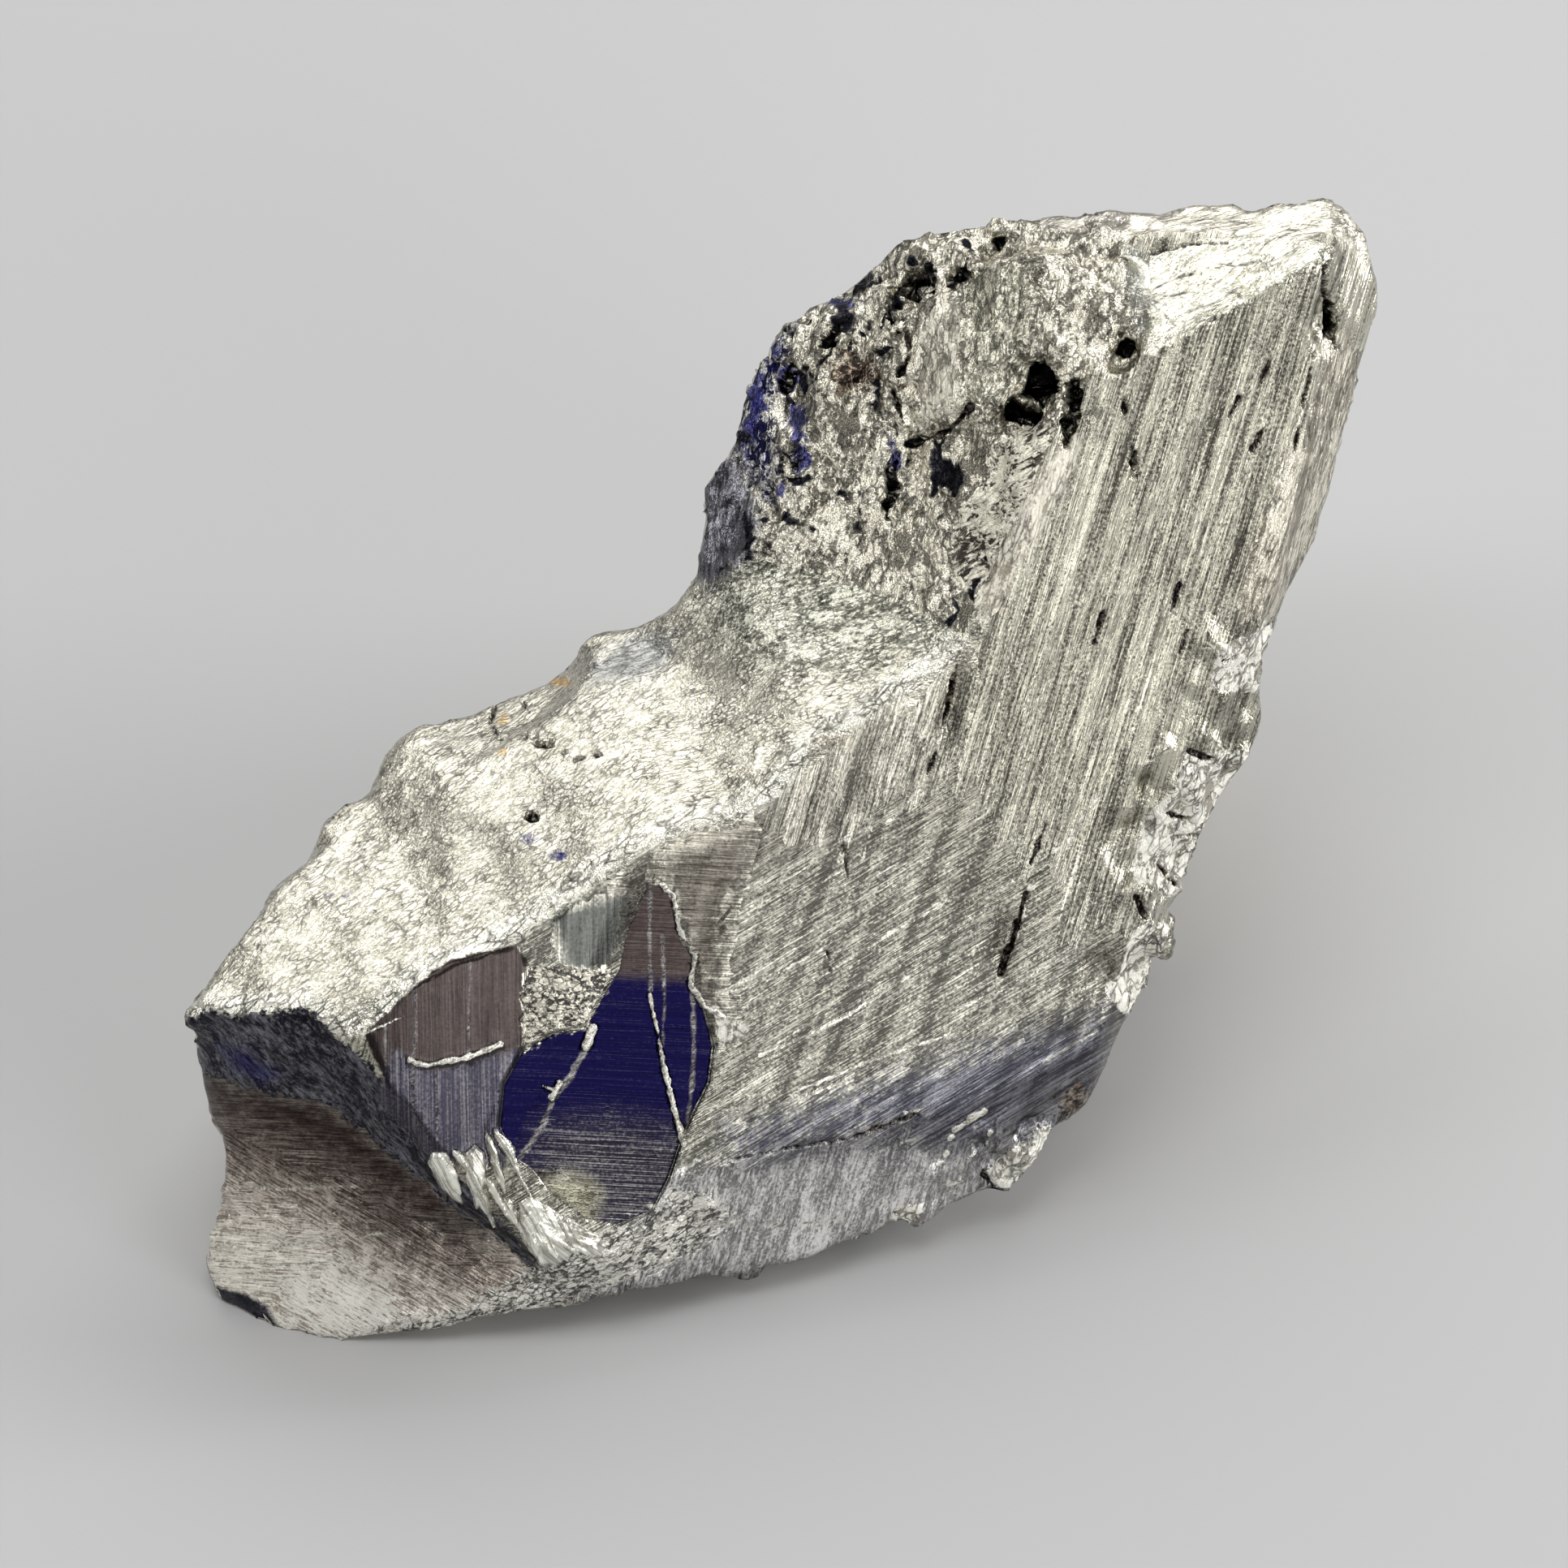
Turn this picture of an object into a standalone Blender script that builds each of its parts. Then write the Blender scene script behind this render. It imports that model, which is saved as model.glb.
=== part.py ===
"""A broken chunk of pyrite, about 51 mm wide, resting on a flat cleavage face.

The stone is set out lying back: `across` runs to its right, `up` runs up its
broad striated face, and `behind` is how far a point lies behind the plane of
that face. Break lines (the edge all round, the crests and the valleys) are
joined by a constrained Delaunay triangulation, once for the side that is seen
and once for the hidden side. The closed block is then remeshed finely, given
its lumps, steps and pits as relief along its normals, thinned to a faceted
solid and cut off flat at the base.

Lengths in the tables are millimetres; the finished mesh is in metres.
"""

import math

import bmesh
import bpy
import numpy as np
from mathutils import Matrix, Vector
from mathutils.geometry import delaunay_2d_cdt

# ---------------------------------------------------------------- driving sizes
MM = 0.001
LEAN_BACK = math.radians(40)  # from upright to the way the stone lies
FACE_HEIGHT = 26.0  # of the broad face above the datum at across = up = 0
FACE_FALL_ACROSS = -0.32  # how fast the broad face falls away to the right
FACE_RISE_UP = 0.13
BASE_LEVEL = -4.5  # the resting face, before the origin is moved onto it
BASE_CUT = 0.35  # taken off the base to leave it flat

VOXEL = 0.42  # grain of the fine block that takes the relief
TRIANGLES = 9600  # of the finished solid

# ------------------------------------------------- the edge all round, clockwise
# (across, up, behind): the line where the seen side turns into the hidden one.
UPPER_EDGE = [
    (-26.0, -10.2, 5.0), (-24.6, -8.1, 5.8), (-21.6, -4.4, 7.6), (-19.9, -2.9, 8.6),
    (-19.4, -1.8, 9.2), (-18.4, -0.9, 9.8), (-17.7, -0.6, 10.2), (-17.3, 0.6, 11.0),
    (-16.8, 1.5, 11.5), (-15.9, 2.6, 12.0), (-14.5, 2.8, 12.3), (-12.8, 3.4, 12.4),
    (-9.2, 4.8, 12.2), (-8.7, 5.4, 12.0), (-8.5, 6.0, 11.8), (-7.7, 6.4, 11.5),
    (-6.2, 6.6, 10.8), (-4.9, 7.6, 10.2),
]
TOWER_LEFT_EDGE = [
    (-4.1, 8.4, 10.3), (-3.8, 10.0, 10.8), (-3.4, 11.8, 11.0), (-3.4, 13.2, 11.0),
    (-2.3, 14.5, 11.5), (-1.9, 16.3, 12.0), (-1.3, 17.7, 12.4), (-0.7, 19.2, 12.6),
    (0.1, 20.0, 12.4), (1.3, 20.6, 12.0), (3.0, 21.4, 11.5), (4.0, 22.4, 11.0),
    (4.9, 23.3, 10.5), (6.1, 23.7, 10.0), (8.2, 24.0, 9.0), (9.2, 24.6, 8.6),
]
TOP_EDGE = [
    (10.6, 24.4, 8.0), (11.8, 24.7, 7.6), (12.8, 24.6, 7.0), (13.4, 24.2, 6.6),
    (14.5, 24.6, 6.4), (15.9, 24.6, 6.0), (16.3, 24.2, 5.8), (17.6, 24.5, 5.4),
    (20.1, 24.6, 4.6), (21.3, 24.9, 4.2), (23.2, 25.1, 3.6), (24.0, 24.6, 3.6),
    (24.7, 23.4, 3.6), (25.2, 21.6, 3.8), (25.3, 20.2, 4.0),
]
RIGHT_EDGE = [
    (25.1, 18.9, 4.0), (24.4, 16.7, 3.8), (23.9, 14.9, 3.6), (23.3, 12.6, 3.4),
    (22.2, 9.8, 3.2), (20.9, 6.5, 3.0), (20.4, 5.6, 3.0), (20.2, 4.1, 3.0),
    (20.1, 2.8, 3.0), (19.5, 1.2, 3.0), (18.6, -0.2, 3.2), (18.3, -1.9, 3.2),
    (17.4, -2.8, 3.0), (17.4, -3.7, 3.0), (16.9, -5.0, 3.0), (16.0, -6.8, 3.0),
    (15.6, -8.2, 3.0), (14.8, -10.0, 3.0), (14.1, -11.8, 3.0), (13.2, -13.7, 3.0),
]
FOOT_EDGE = [
    (12.3, -14.6, 3.2), (11.3, -15.0, 3.2), (10.8, -16.1, 3.4), (10.2, -17.2, 3.4),
    (7.8, -18.0, 3.2), (6.4, -18.8, 3.0), (4.0, -19.1, 3.0), (2.2, -19.9, 3.0),
    (0.7, -20.6, 3.0), (-0.7, -20.9, 3.0), (-3.4, -21.2, 3.0), (-4.8, -21.7, 3.0),
    (-9.3, -22.3, 3.2), (-11.4, -22.6, 3.6), (-13.2, -23.0, 4.2), (-14.7, -23.5, 5.0),
    (-17.4, -23.7, 6.0), (-19.7, -24.3, 7.0),
]
LEFT_EDGE = [
    (-21.6, -23.9, 8.5), (-23.3, -22.9, 10.0), (-24.5, -22.1, 11.0), (-24.8, -21.1, 11.0),
    (-24.8, -19.7, 10.5), (-24.4, -18.7, 10.0), (-24.8, -17.6, 10.0), (-24.1, -16.2, 9.0),
    (-23.9, -15.6, 8.6), (-24.4, -14.0, 8.2), (-25.2, -12.0, 7.6),
]
EDGE = UPPER_EDGE + TOWER_LEFT_EDGE + TOP_EDGE + RIGHT_EDGE + FOOT_EDGE + LEFT_EDGE

# ------------------------------------------------------ crests and valleys, seen side
LEFT_TIP = UPPER_EDGE[0]
FOOT_CORNER = FOOT_EDGE[12]
NOTCH = (7.7, 6.2, 0.0)  # where the ledge, the tower and the broad face meet
LEDGE_CREST = [
    (-18.8, -10.9, 0.7), (-17.0, -10.0, 0.4), (-15.6, -8.5, 0.2), (-14.2, -7.8, 0.0),
    (-11.1, -6.4, 0.0), (-9.3, -5.0, 0.0), (-7.7, -3.7, 0.0), (-6.2, -2.8, 0.0),
    (-4.1, -1.8, 0.0), (-2.1, -1.3, 0.0), (-0.2, -0.7, 0.0), (0.9, 1.3, 0.0),
    (3.3, 2.7, 0.0), (5.0, 3.9, 0.0), (7.0, 5.3, 0.0), NOTCH,
]
TOWER_CREST = [
    NOTCH, (8.2, 7.7, 0.0), (9.6, 10.0, 0.0), (10.4, 12.5, 0.0), (11.3, 14.4, 0.0),
    (12.2, 16.3, 0.0), (13.3, 17.7, 0.0), (15.2, 17.9, 0.0),
]
TOP_FACET_FRONT = [
    (15.2, 17.9, 0.0), (16.9, 18.8, 0.0), (18.7, 19.9, 0.0), (20.4, 20.8, 0.0),
    (22.2, 21.9, 0.0), (23.2, 22.3, 0.4),
]
TOP_FACET_BACK = [
    (11.0, 23.2, 6.2), (14.7, 23.4, 5.2), (16.9, 23.8, 4.6), (19.7, 23.6, 3.4),
    (22.2, 23.7, 2.6), (23.8, 23.7, 2.4),
]
TOP_FACET_LEFT = [(15.2, 17.9, 0.0), (15.4, 19.8, 1.5), (15.7, 22.3, 4.0), (14.7, 23.4, 5.2)]
RIGHT_BEVEL = [
    (23.2, 22.3, 0.4), (23.3, 19.8, 0.6), (22.6, 17.0, 0.6), (22.4, 14.9, 0.6),
    (21.6, 11.2, 0.5), (20.8, 7.9, 0.5), (19.7, 6.2, 0.4), (18.7, 5.6, 0.3),
    (18.3, 3.9, 0.3), (18.1, 2.0, 0.3), (17.1, 1.1, 0.3), (16.6, -0.3, 0.3),
    (15.6, -1.5, 0.3), (15.1, -3.1, 0.3), (14.9, -4.3, 0.3), (15.4, -6.1, 0.4),
    (14.3, -7.5, 0.4), (13.9, -9.1, 0.5), (13.4, -11.3, 0.6),
]
FOOT_BEND = [
    (13.4, -11.3, 0.6), (10.3, -12.7, 0.4), (7.5, -13.9, 0.3), (4.7, -14.6, 0.3),
    (2.6, -15.1, 0.3), (-0.2, -15.4, 0.3), (-2.3, -16.3, 0.3), (-4.8, -16.9, 0.3),
    (-5.8, -18.7, 0.6), (-7.9, -20.3, 0.8), (-10.4, -20.4, 1.6),
]
LIP_TOP = [  # the crest of the dark step above the left end
    LEFT_TIP, (-24.6, -9.7, 3.6), (-23.3, -9.9, 2.8), (-21.9, -9.7, 2.2),
    (-20.3, -9.6, 1.5), (-19.7, -10.4, 1.0), (-18.8, -10.9, 0.7), (-17.4, -12.3, 0.6),
    (-16.1, -14.0, 0.6), (-15.3, -15.1, 0.6), (-14.2, -16.6, 0.8), (-12.8, -18.0, 1.0),
    (-11.4, -19.4, 1.2), (-10.4, -20.4, 1.6), FOOT_CORNER,
]
LIP_BOTTOM = [  # the foot of that step, where the left end begins
    LEFT_EDGE[-1], (-24.6, -12.4, 6.5), (-23.3, -12.9, 5.5), (-21.7, -13.3, 4.6),
    (-19.8, -13.5, 4.0), (-18.1, -14.7, 3.4), (-16.3, -16.2, 3.0), (-14.2, -18.1, 2.8),
    (-12.1, -19.6, 2.8), (-10.0, -21.5, 3.0), FOOT_CORNER,
]
LEDGE_BACK = [UPPER_EDGE[6], (-14.2, 0.3, 7.8), (-11.1, 1.7, 7.8), (-8.8, 3.7, 8.6), UPPER_EDGE[14]]
TOWER_FOOT = [
    TOWER_LEFT_EDGE[0], (-2.3, 9.2, 8.6), (-0.9, 9.6, 7.6), (1.5, 8.9, 6.0),
    (4.0, 8.1, 4.4), (6.4, 7.0, 2.2), NOTCH,
]
TOWER_RIB = [TOWER_LEFT_EDGE[-1], (8.2, 22.3, 6.6), (7.6, 19.1, 4.6), (7.5, 16.3, 3.4)]
TOWER_GROOVE = [(4.7, 21.6, 8.8), (4.9, 19.1, 7.2), (5.2, 15.6, 6.2), (4.9, 12.8, 5.6)]
TOWER_SHOULDER = [(10.6, 21.6, 3.6), (10.3, 18.8, 2.4), (9.2, 15.6, 2.4)]
TOWER_FLANK = [(2.2, 19.5, 10.0), (1.5, 17.4, 8.8), (-0.2, 14.2, 9.0), (-0.9, 9.6, 7.6)]
TOWER_LUMPS = [(3.3, 14.9, 6.4), (1.2, 12.8, 7.5), (-1.4, 15.6, 10.6), (-0.2, 18.4, 11.0)]

SEEN_LINES = [
    LEDGE_CREST, TOWER_CREST, TOP_FACET_FRONT, TOP_FACET_BACK, TOP_FACET_LEFT,
    RIGHT_BEVEL, FOOT_BEND, LIP_TOP, LIP_BOTTOM, LEDGE_BACK, TOWER_FOOT, TOWER_RIB,
    TOWER_GROOVE, TOWER_SHOULDER, TOWER_FLANK,
]

# --------------------------------------------------------------- the hidden side
# (x, y, z) as the stone lies: x to the right, y to the back, z up.
BASE_RING = [
    (-22, -26), (-18, -29), (-9, -26.5), (1, -24.5), (8, -19.5), (12, -14), (15, -6),
    (19, 8.5), (14, 13), (4, 12), (-6, 7), (-14, 1), (-20, -7), (-23, -17),
]
BACK_POINTS = [
    (-20, -14, 5), (-15, -7, 7), (-8, -3, 8), (-2, 4, 12), (5, 9, 18), (14, 10, 20),
    (22, 6, 21), (4, 14, 6), (14, 15, 7), (20, 8, 9),
]

# -------------------------------------------------------------------- the relief
SCOOP_RIM = [  # the hollow with the mirror-flat floor, low on the broad face
    (-5.8, -4.2), (-4.8, -4.7), (-3.8, -7.5), (-3.7, -9.0), (-3.0, -10.6), (-3.0, -12.2),
    (-3.5, -13.6), (-4.3, -14.9), (-4.8, -16.9), (-7.0, -19.0), (-9.3, -18.3),
    (-10.7, -16.9), (-12.1, -14.3), (-11.8, -12.4), (-11.1, -11.3), (-9.7, -10.6),
    (-8.3, -10.4), (-7.8, -8.9), (-7.0, -7.8), (-6.7, -6.1),
]
SCOOP_DEPTH = 0.7
SCOOP_SHELVING = 0.9  # the width over which the scoop's side falls
PITS = [  # (across, up, half width, half height, depth) of the holes
    (10.7, 17.0, 0.9, 1.5, 1.7), (12.2, 16.4, 0.35, 1.3, 1.0), (5.3, 21.2, 1.1, 0.8, 1.3),
    (9.1, 23.3, 0.9, 0.5, 0.8), (14.7, 18.7, 0.45, 0.6, 0.9), (23.3, 19.8, 0.45, 1.0, 1.0),
    (0.3, 17.0, 0.6, 0.8, 0.9), (6.6, 15.0, 1.3, 0.5, 0.8), (9.7, 15.6, 1.0, 0.5, 0.9),
    (9.5, -6.9, 0.3, 1.6, 0.6), (7.2, 3.1, 0.25, 2.3, 0.5), (8.6, 9.6, 0.7, 1.4, 0.6),
]
LUMPS = {  # region: (height, size of its lumps, size of its broken facets, their share)
    "ledge": (0.16, 4.5, 2.6, 0.5),
    "tower": (0.45, 3.2, 2.0, 1.2),
    "end": (0.12, 3.5, 2.4, 0.2),
    "back": (0.50, 6.0, 3.4, 0.6),
}
TOWER_STRETCH = 1.8  # its lumps are longer up the tower than across it
BASE_MARGIN = 1.5  # the lumps of the back fade out over this height above the base
RIB_LEAN = math.radians(17)  # of the broad face's ribs, from straight up
RIB_HEIGHT = 0.13
RIB_WIDTH = 1.1
RIB_LENGTH = 14.0
EDGE_SHARE = 0.3  # of the relief that is left at the edge all round
EDGE_WIDTH = 1.6
CHIPPED = [  # (across, up, radius) of the places where the edge is broken in blocks
    (19.3, 5.1, 1.9), (17.4, 0.4, 2.2), (16.2, -3.4, 2.4), (15.2, -7.4, 2.0),
    (9.7, -16.3, 2.0), (6.1, -18.2, 1.7), (14.0, 24.0, 1.4), (-24.6, -19.0, 1.2),
]
CHIP_SIZE = 1.5
CHIP_HEIGHT = 0.9


def face_height(across, up):
    """Height of the broad face's plane above the datum."""
    return FACE_HEIGHT + FACE_FALL_ACROSS * across + FACE_RISE_UP * up


def seen(point):
    """(across, up, behind) to (across, up, height)."""
    across, up, behind = point
    return across, up, face_height(across, up) - behind


def hidden(x, y, z):
    """A point of the lying stone, back in the (across, up, height) frame."""
    return tuple(lying().inverted() @ Vector((x, y, z)))


def lying():
    """The turn that lays (across, up, height) down on the base."""
    return Matrix.Rotation(math.pi / 2 - LEAN_BACK, 3, "X")


# ------------------------------------------------------------- the closed block
class PointBook:
    """Numbers the points of a surface, one number for each (across, up)."""

    def __init__(self):
        self.points = []
        self.number = {}

    def add(self, point):
        key = (round(point[0], 3), round(point[1], 3))
        if key not in self.number:
            self.number[key] = len(self.points)
            self.points.append(Vector(point))
        return self.number[key]

    def line(self, points, closed=False):
        numbers = [self.add(p) for p in points]
        ends = numbers[1:] + numbers[:1] if closed else numbers[1:]
        return list(zip(numbers, ends))


def surface(edge, lines, loose):
    """Triangles over the outline `edge` that keep every break line."""
    book = PointBook()
    edges = book.line(edge, closed=True)
    for points in lines:
        edges += book.line(points)
    for point in loose:
        book.add(point)
    flat = [Vector(p[:2]) for p in book.points]
    made = delaunay_2d_cdt(flat, edges, [list(range(len(edge)))], 1, 1e-6)
    verts, _, faces, sources = made[0], made[1], made[2], made[3]
    points = []
    for flat_point, source in zip(verts, sources):
        if not source:
            raise ValueError(f"two break lines cross at {tuple(flat_point)}")
        points.append(book.points[source[0]])
    return points, faces


def closed_block():
    """The seen and the hidden surfaces, joined all round the edge."""
    edge = [seen(p) for p in EDGE]
    front = surface(
        edge, [[seen(p) for p in line] for line in SEEN_LINES], [seen(p) for p in TOWER_LUMPS])
    ring = [hidden(x, y, BASE_LEVEL) for x, y in BASE_RING]
    back = surface(edge, [ring + ring[:1]], [hidden(*p) for p in BACK_POINTS])
    mesh = bmesh.new()
    for (points, faces), turned in ((front, False), (back, True)):
        verts = [mesh.verts.new(p) for p in points]
        for face in faces:
            mesh.faces.new([verts[i] for i in (reversed(face) if turned else face)])
    bmesh.ops.remove_doubles(mesh, verts=mesh.verts[:], dist=1e-4)
    bmesh.ops.recalc_face_normals(mesh, faces=mesh.faces[:])
    return mesh


def object_of(name, mesh):
    """A scene object from a bmesh, which is then freed."""
    data = bpy.data.meshes.new(name)
    mesh.to_mesh(data)
    mesh.free()
    made = bpy.data.objects.new(name, data)
    bpy.context.scene.collection.objects.link(made)
    return made


def with_modifier(source, name, kind, **settings):
    """A new object holding what `source` looks like under one modifier."""
    modifier = source.modifiers.new(kind.title(), kind)
    for key, value in settings.items():
        setattr(modifier, key, value)
    graph = bpy.context.evaluated_depsgraph_get()
    data = bpy.data.meshes.new_from_object(source.evaluated_get(graph))
    bpy.data.objects.remove(source)
    made = bpy.data.objects.new(name, data)
    bpy.context.scene.collection.objects.link(made)
    return made


# -------------------------------------------------------------------- the noise
def lattice(cells, seed):
    """A fixed pseudo-random number from 0 to 1 for each whole-number cell."""
    mixed = cells[..., 0] * 374761393 + cells[..., 1] * 668265263 + cells[..., 2] * 2246822519
    mixed = (mixed + seed * 3266489917) & 0xFFFFFFFF
    mixed = ((mixed ^ (mixed >> 13)) * 1274126177) & 0xFFFFFFFF
    return (mixed ^ (mixed >> 16)) / 0xFFFFFFFF


def noise(points, seed):
    """Smooth value noise from -1 to 1: lattice values blended across each cell."""
    cell = np.floor(points).astype(np.int64)
    part = points - cell
    part = part * part * (3 - 2 * part)
    total = np.zeros(len(points))
    for corner in np.ndindex(2, 2, 2):
        offset = np.array(corner)
        weight = np.where(offset == 1, part, 1 - part).prod(axis=1)
        total += weight * lattice(cell + offset, seed)
    return 2 * total - 1


def layered(points, seed, octaves=3):
    """Noise summed over octaves, each half as high and twice as fine."""
    return sum(noise(points * 2**k, seed + k) / 2**k for k in range(octaves))


def broken(points, seed, join=0.22):
    """Broken facets from -1 to 1: each cell is a plane tilted its own way.

    Where two cells meet, one plane runs into the other over the width `join`.
    """
    cell = np.floor(points).astype(np.int64)
    near, second = np.full(len(points), 9.0), np.full(len(points), 9.0)
    near_plane, second_plane = np.zeros(len(points)), np.zeros(len(points))
    for corner in np.ndindex(3, 3, 3):
        at = cell + np.array(corner) - 1
        centre = at + np.stack([lattice(at, seed + k) for k in range(3)], axis=1)
        away = points - centre
        distance = np.sqrt((away**2).sum(axis=1))
        tilt = np.stack([lattice(at, seed + 3 + k) for k in range(3)], axis=1) * 2 - 1
        plane = lattice(at, seed + 6) - 0.5 + (away * tilt).sum(axis=1)
        nearer = distance < near
        between = ~nearer & (distance < second)
        second = np.where(nearer, near, np.where(between, distance, second))
        second_plane = np.where(nearer, near_plane, np.where(between, plane, second_plane))
        near = np.where(nearer, distance, near)
        near_plane = np.where(nearer, plane, near_plane)
    share = eased(0.5 + (second - near) / (2 * join))
    return share * near_plane + (1 - share) * second_plane


# ------------------------------------------------------------------ the regions
def inside(across, up, ring):
    """True where a point lies inside the closed ring, by counting crossings."""
    ring = np.array([p[:2] for p in ring])
    hit = np.zeros(len(across), bool)
    for (x0, y0), (x1, y1) in zip(ring, np.roll(ring, -1, axis=0)):
        if y0 == y1:
            continue
        spans = (y0 > up) != (y1 > up)
        hit ^= spans & (across < x0 + (up - y0) * (x1 - x0) / (y1 - y0))
    return hit


def distance_to(across, up, line):
    """Distance to the nearest stretch of a polyline."""
    points = np.stack([across, up], axis=1)
    line = np.array([p[:2] for p in line], float)
    best = np.full(len(across), np.inf)
    for start, end in zip(line[:-1], line[1:]):
        run = end - start
        share = np.clip((points - start) @ run / (run @ run), 0, 1)
        away = points - start - share[:, None] * run
        best = np.minimum(best, np.hypot(away[:, 0], away[:, 1]))
    return best


def eased(value):
    """0 below 0, 1 above 1, with a smooth rise between."""
    value = np.clip(value, 0, 1)
    return value * value * (3 - 2 * value)


LEDGE_RING = UPPER_EDGE + TOWER_FOOT + LEDGE_CREST[::-1] + LIP_TOP[6:0:-1]
TOWER_RING = TOWER_LEFT_EDGE + TOP_EDGE[:4] + TOP_FACET_LEFT[::-1] + TOWER_CREST[::-1] + TOWER_FOOT[::-1]
END_RING = LIP_BOTTOM + FOOT_EDGE[13:] + LEFT_EDGE


def lumps(points, region, seed):
    """The region's smooth lumps with broken facets over them."""
    height, lump_size, facet_size, facet_share = LUMPS[region]
    rough = layered(points / lump_size, seed) + facet_share * broken(points / facet_size, seed + 1)
    return height * rough


def ribs(points):
    """Long low ribs that run up the broad face with a lean to the right."""
    across, up = points[:, 0], points[:, 1]
    over = across * math.cos(RIB_LEAN) - up * math.sin(RIB_LEAN)
    along = across * math.sin(RIB_LEAN) + up * math.cos(RIB_LEAN)
    steady = np.zeros(len(points))
    return RIB_HEIGHT * layered(np.stack([over / RIB_WIDTH, along / RIB_LENGTH, steady], axis=1), 11)


def relief(points, facing):
    """How far each point of the fine block moves out along its normal, in mm."""
    across, up = points[:, 0], points[:, 1]
    shown = eased((facing - 0.02) / 0.15)
    ledge = inside(across, up, LEDGE_RING)
    tower = inside(across, up, TOWER_RING)
    end = inside(across, up, END_RING)
    broad = ~(ledge | tower | end)
    tall = points / (1.0, TOWER_STRETCH, 1.0)
    height = (ledge * lumps(points, "ledge", 21) + tower * lumps(tall, "tower", 31)
              + end * lumps(points, "end", 41) + broad * ribs(points))
    from_edge = distance_to(across, up, EDGE + EDGE[:1])
    height *= shown * (EDGE_SHARE + (1 - EDGE_SHARE) * eased(from_edge / EDGE_WIDTH))

    above_base = points @ np.array(lying())[2] - BASE_LEVEL - BASE_CUT
    height += (1 - shown) * eased(above_base / BASE_MARGIN) * lumps(points, "back", 51)

    chips = np.zeros(len(points))
    for at, level, radius in CHIPPED:
        chips = np.maximum(chips, eased(1.6 - np.hypot(across - at, up - level) / radius))
    height += shown * chips * CHIP_HEIGHT * broken(points / CHIP_SIZE, 61)

    in_scoop = shown * inside(across, up, SCOOP_RIM)
    from_rim = distance_to(across, up, SCOOP_RIM + SCOOP_RIM[:1])
    height -= in_scoop * SCOOP_DEPTH * eased(from_rim / SCOOP_SHELVING)
    for at, level, half_width, half_height, depth in PITS:
        reach = ((across - at) / half_width) ** 2 + ((up - level) / half_height) ** 2
        height -= shown * depth * np.exp(-reach)
    return height


def carve(block):
    """Moves the fine block's points out along their normals by the relief."""
    data = block.data
    points = np.empty(len(data.vertices) * 3, np.float32)
    normals = np.empty(len(data.vertices) * 3, np.float32)
    data.vertices.foreach_get("co", points)
    data.vertex_normals.foreach_get("vector", normals)
    points = points.reshape(-1, 3).astype(float)
    normals = normals.reshape(-1, 3).astype(float)
    moved = points + normals * relief(points, normals[:, 2])[:, None]
    data.vertices.foreach_set("co", moved.astype(np.float32).ravel())
    data.update()
    return block


# ----------------------------------------------------------------- the finished stone
def set_down(stone):
    """Lays the stone on its base, cuts the base flat and moves the origin under its middle."""
    mesh = bmesh.new()
    mesh.from_mesh(stone.data)
    bpy.data.objects.remove(stone)
    mesh.transform(lying().to_4x4())
    everything = mesh.verts[:] + mesh.edges[:] + mesh.faces[:]
    bmesh.ops.bisect_plane(mesh, geom=everything, dist=1e-5, plane_co=(0, 0, BASE_LEVEL + BASE_CUT),
                           plane_no=(0, 0, -1), clear_outer=True)
    bmesh.ops.holes_fill(mesh, edges=[e for e in mesh.edges if e.is_boundary])
    bmesh.ops.triangulate(mesh, faces=mesh.faces[:])
    corners = np.array([v.co for v in mesh.verts])
    low, high = corners.min(axis=0), corners.max(axis=0)
    middle = (low + high) / 2
    bmesh.ops.translate(mesh, verts=mesh.verts[:], vec=(-middle[0], -middle[1], -low[2]))
    bmesh.ops.scale(mesh, verts=mesh.verts[:], vec=(MM, MM, MM))
    bmesh.ops.recalc_face_normals(mesh, faces=mesh.faces[:])
    return object_of("pyrite", mesh)


def pyrite_finish():
    """Pale silvery metal, as fresh pyrite is where it is broken."""
    material = bpy.data.materials.new("pyrite")
    material.use_nodes = True
    shader = material.node_tree.nodes["Principled BSDF"]
    shader.inputs["Base Color"].default_value = (0.56, 0.54, 0.49, 1)
    shader.inputs["Metallic"].default_value = 1.0
    shader.inputs["Roughness"].default_value = 0.34
    return material


def main():
    for old in list(bpy.data.objects):
        bpy.data.objects.remove(old)
    block = object_of("block", closed_block())
    fine = with_modifier(block, "fine", "REMESH", mode="VOXEL", voxel_size=VOXEL)
    carve(fine)
    faces = 2 * len(fine.data.polygons)
    thinned = with_modifier(fine, "thinned", "DECIMATE", ratio=TRIANGLES / faces)
    stone = set_down(thinned)
    stone.data.materials.append(pyrite_finish())
    stone.data.shade_smooth()
    stone.data.set_sharp_from_angle(angle=math.radians(28))


main()
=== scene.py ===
# %% [markdown]
# # A broken chunk of pyrite
#
# The stone is one solid piece of metal-bright mineral. It has a rough shelf on the left,
# a raised corner that is as rough as slag, one broad face with long ribs, and a small
# hollow whose floor is a deep blue mirror. The packed solid already has those main shapes.
# Here it gets what the solid is too coarse for: the crinkled break, the ribs, the pits,
# the veins and the tarnish.

# %% Load the frame
import math

import bmesh
import bpy
import numpy as np
from mathutils import Matrix, Vector


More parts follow.
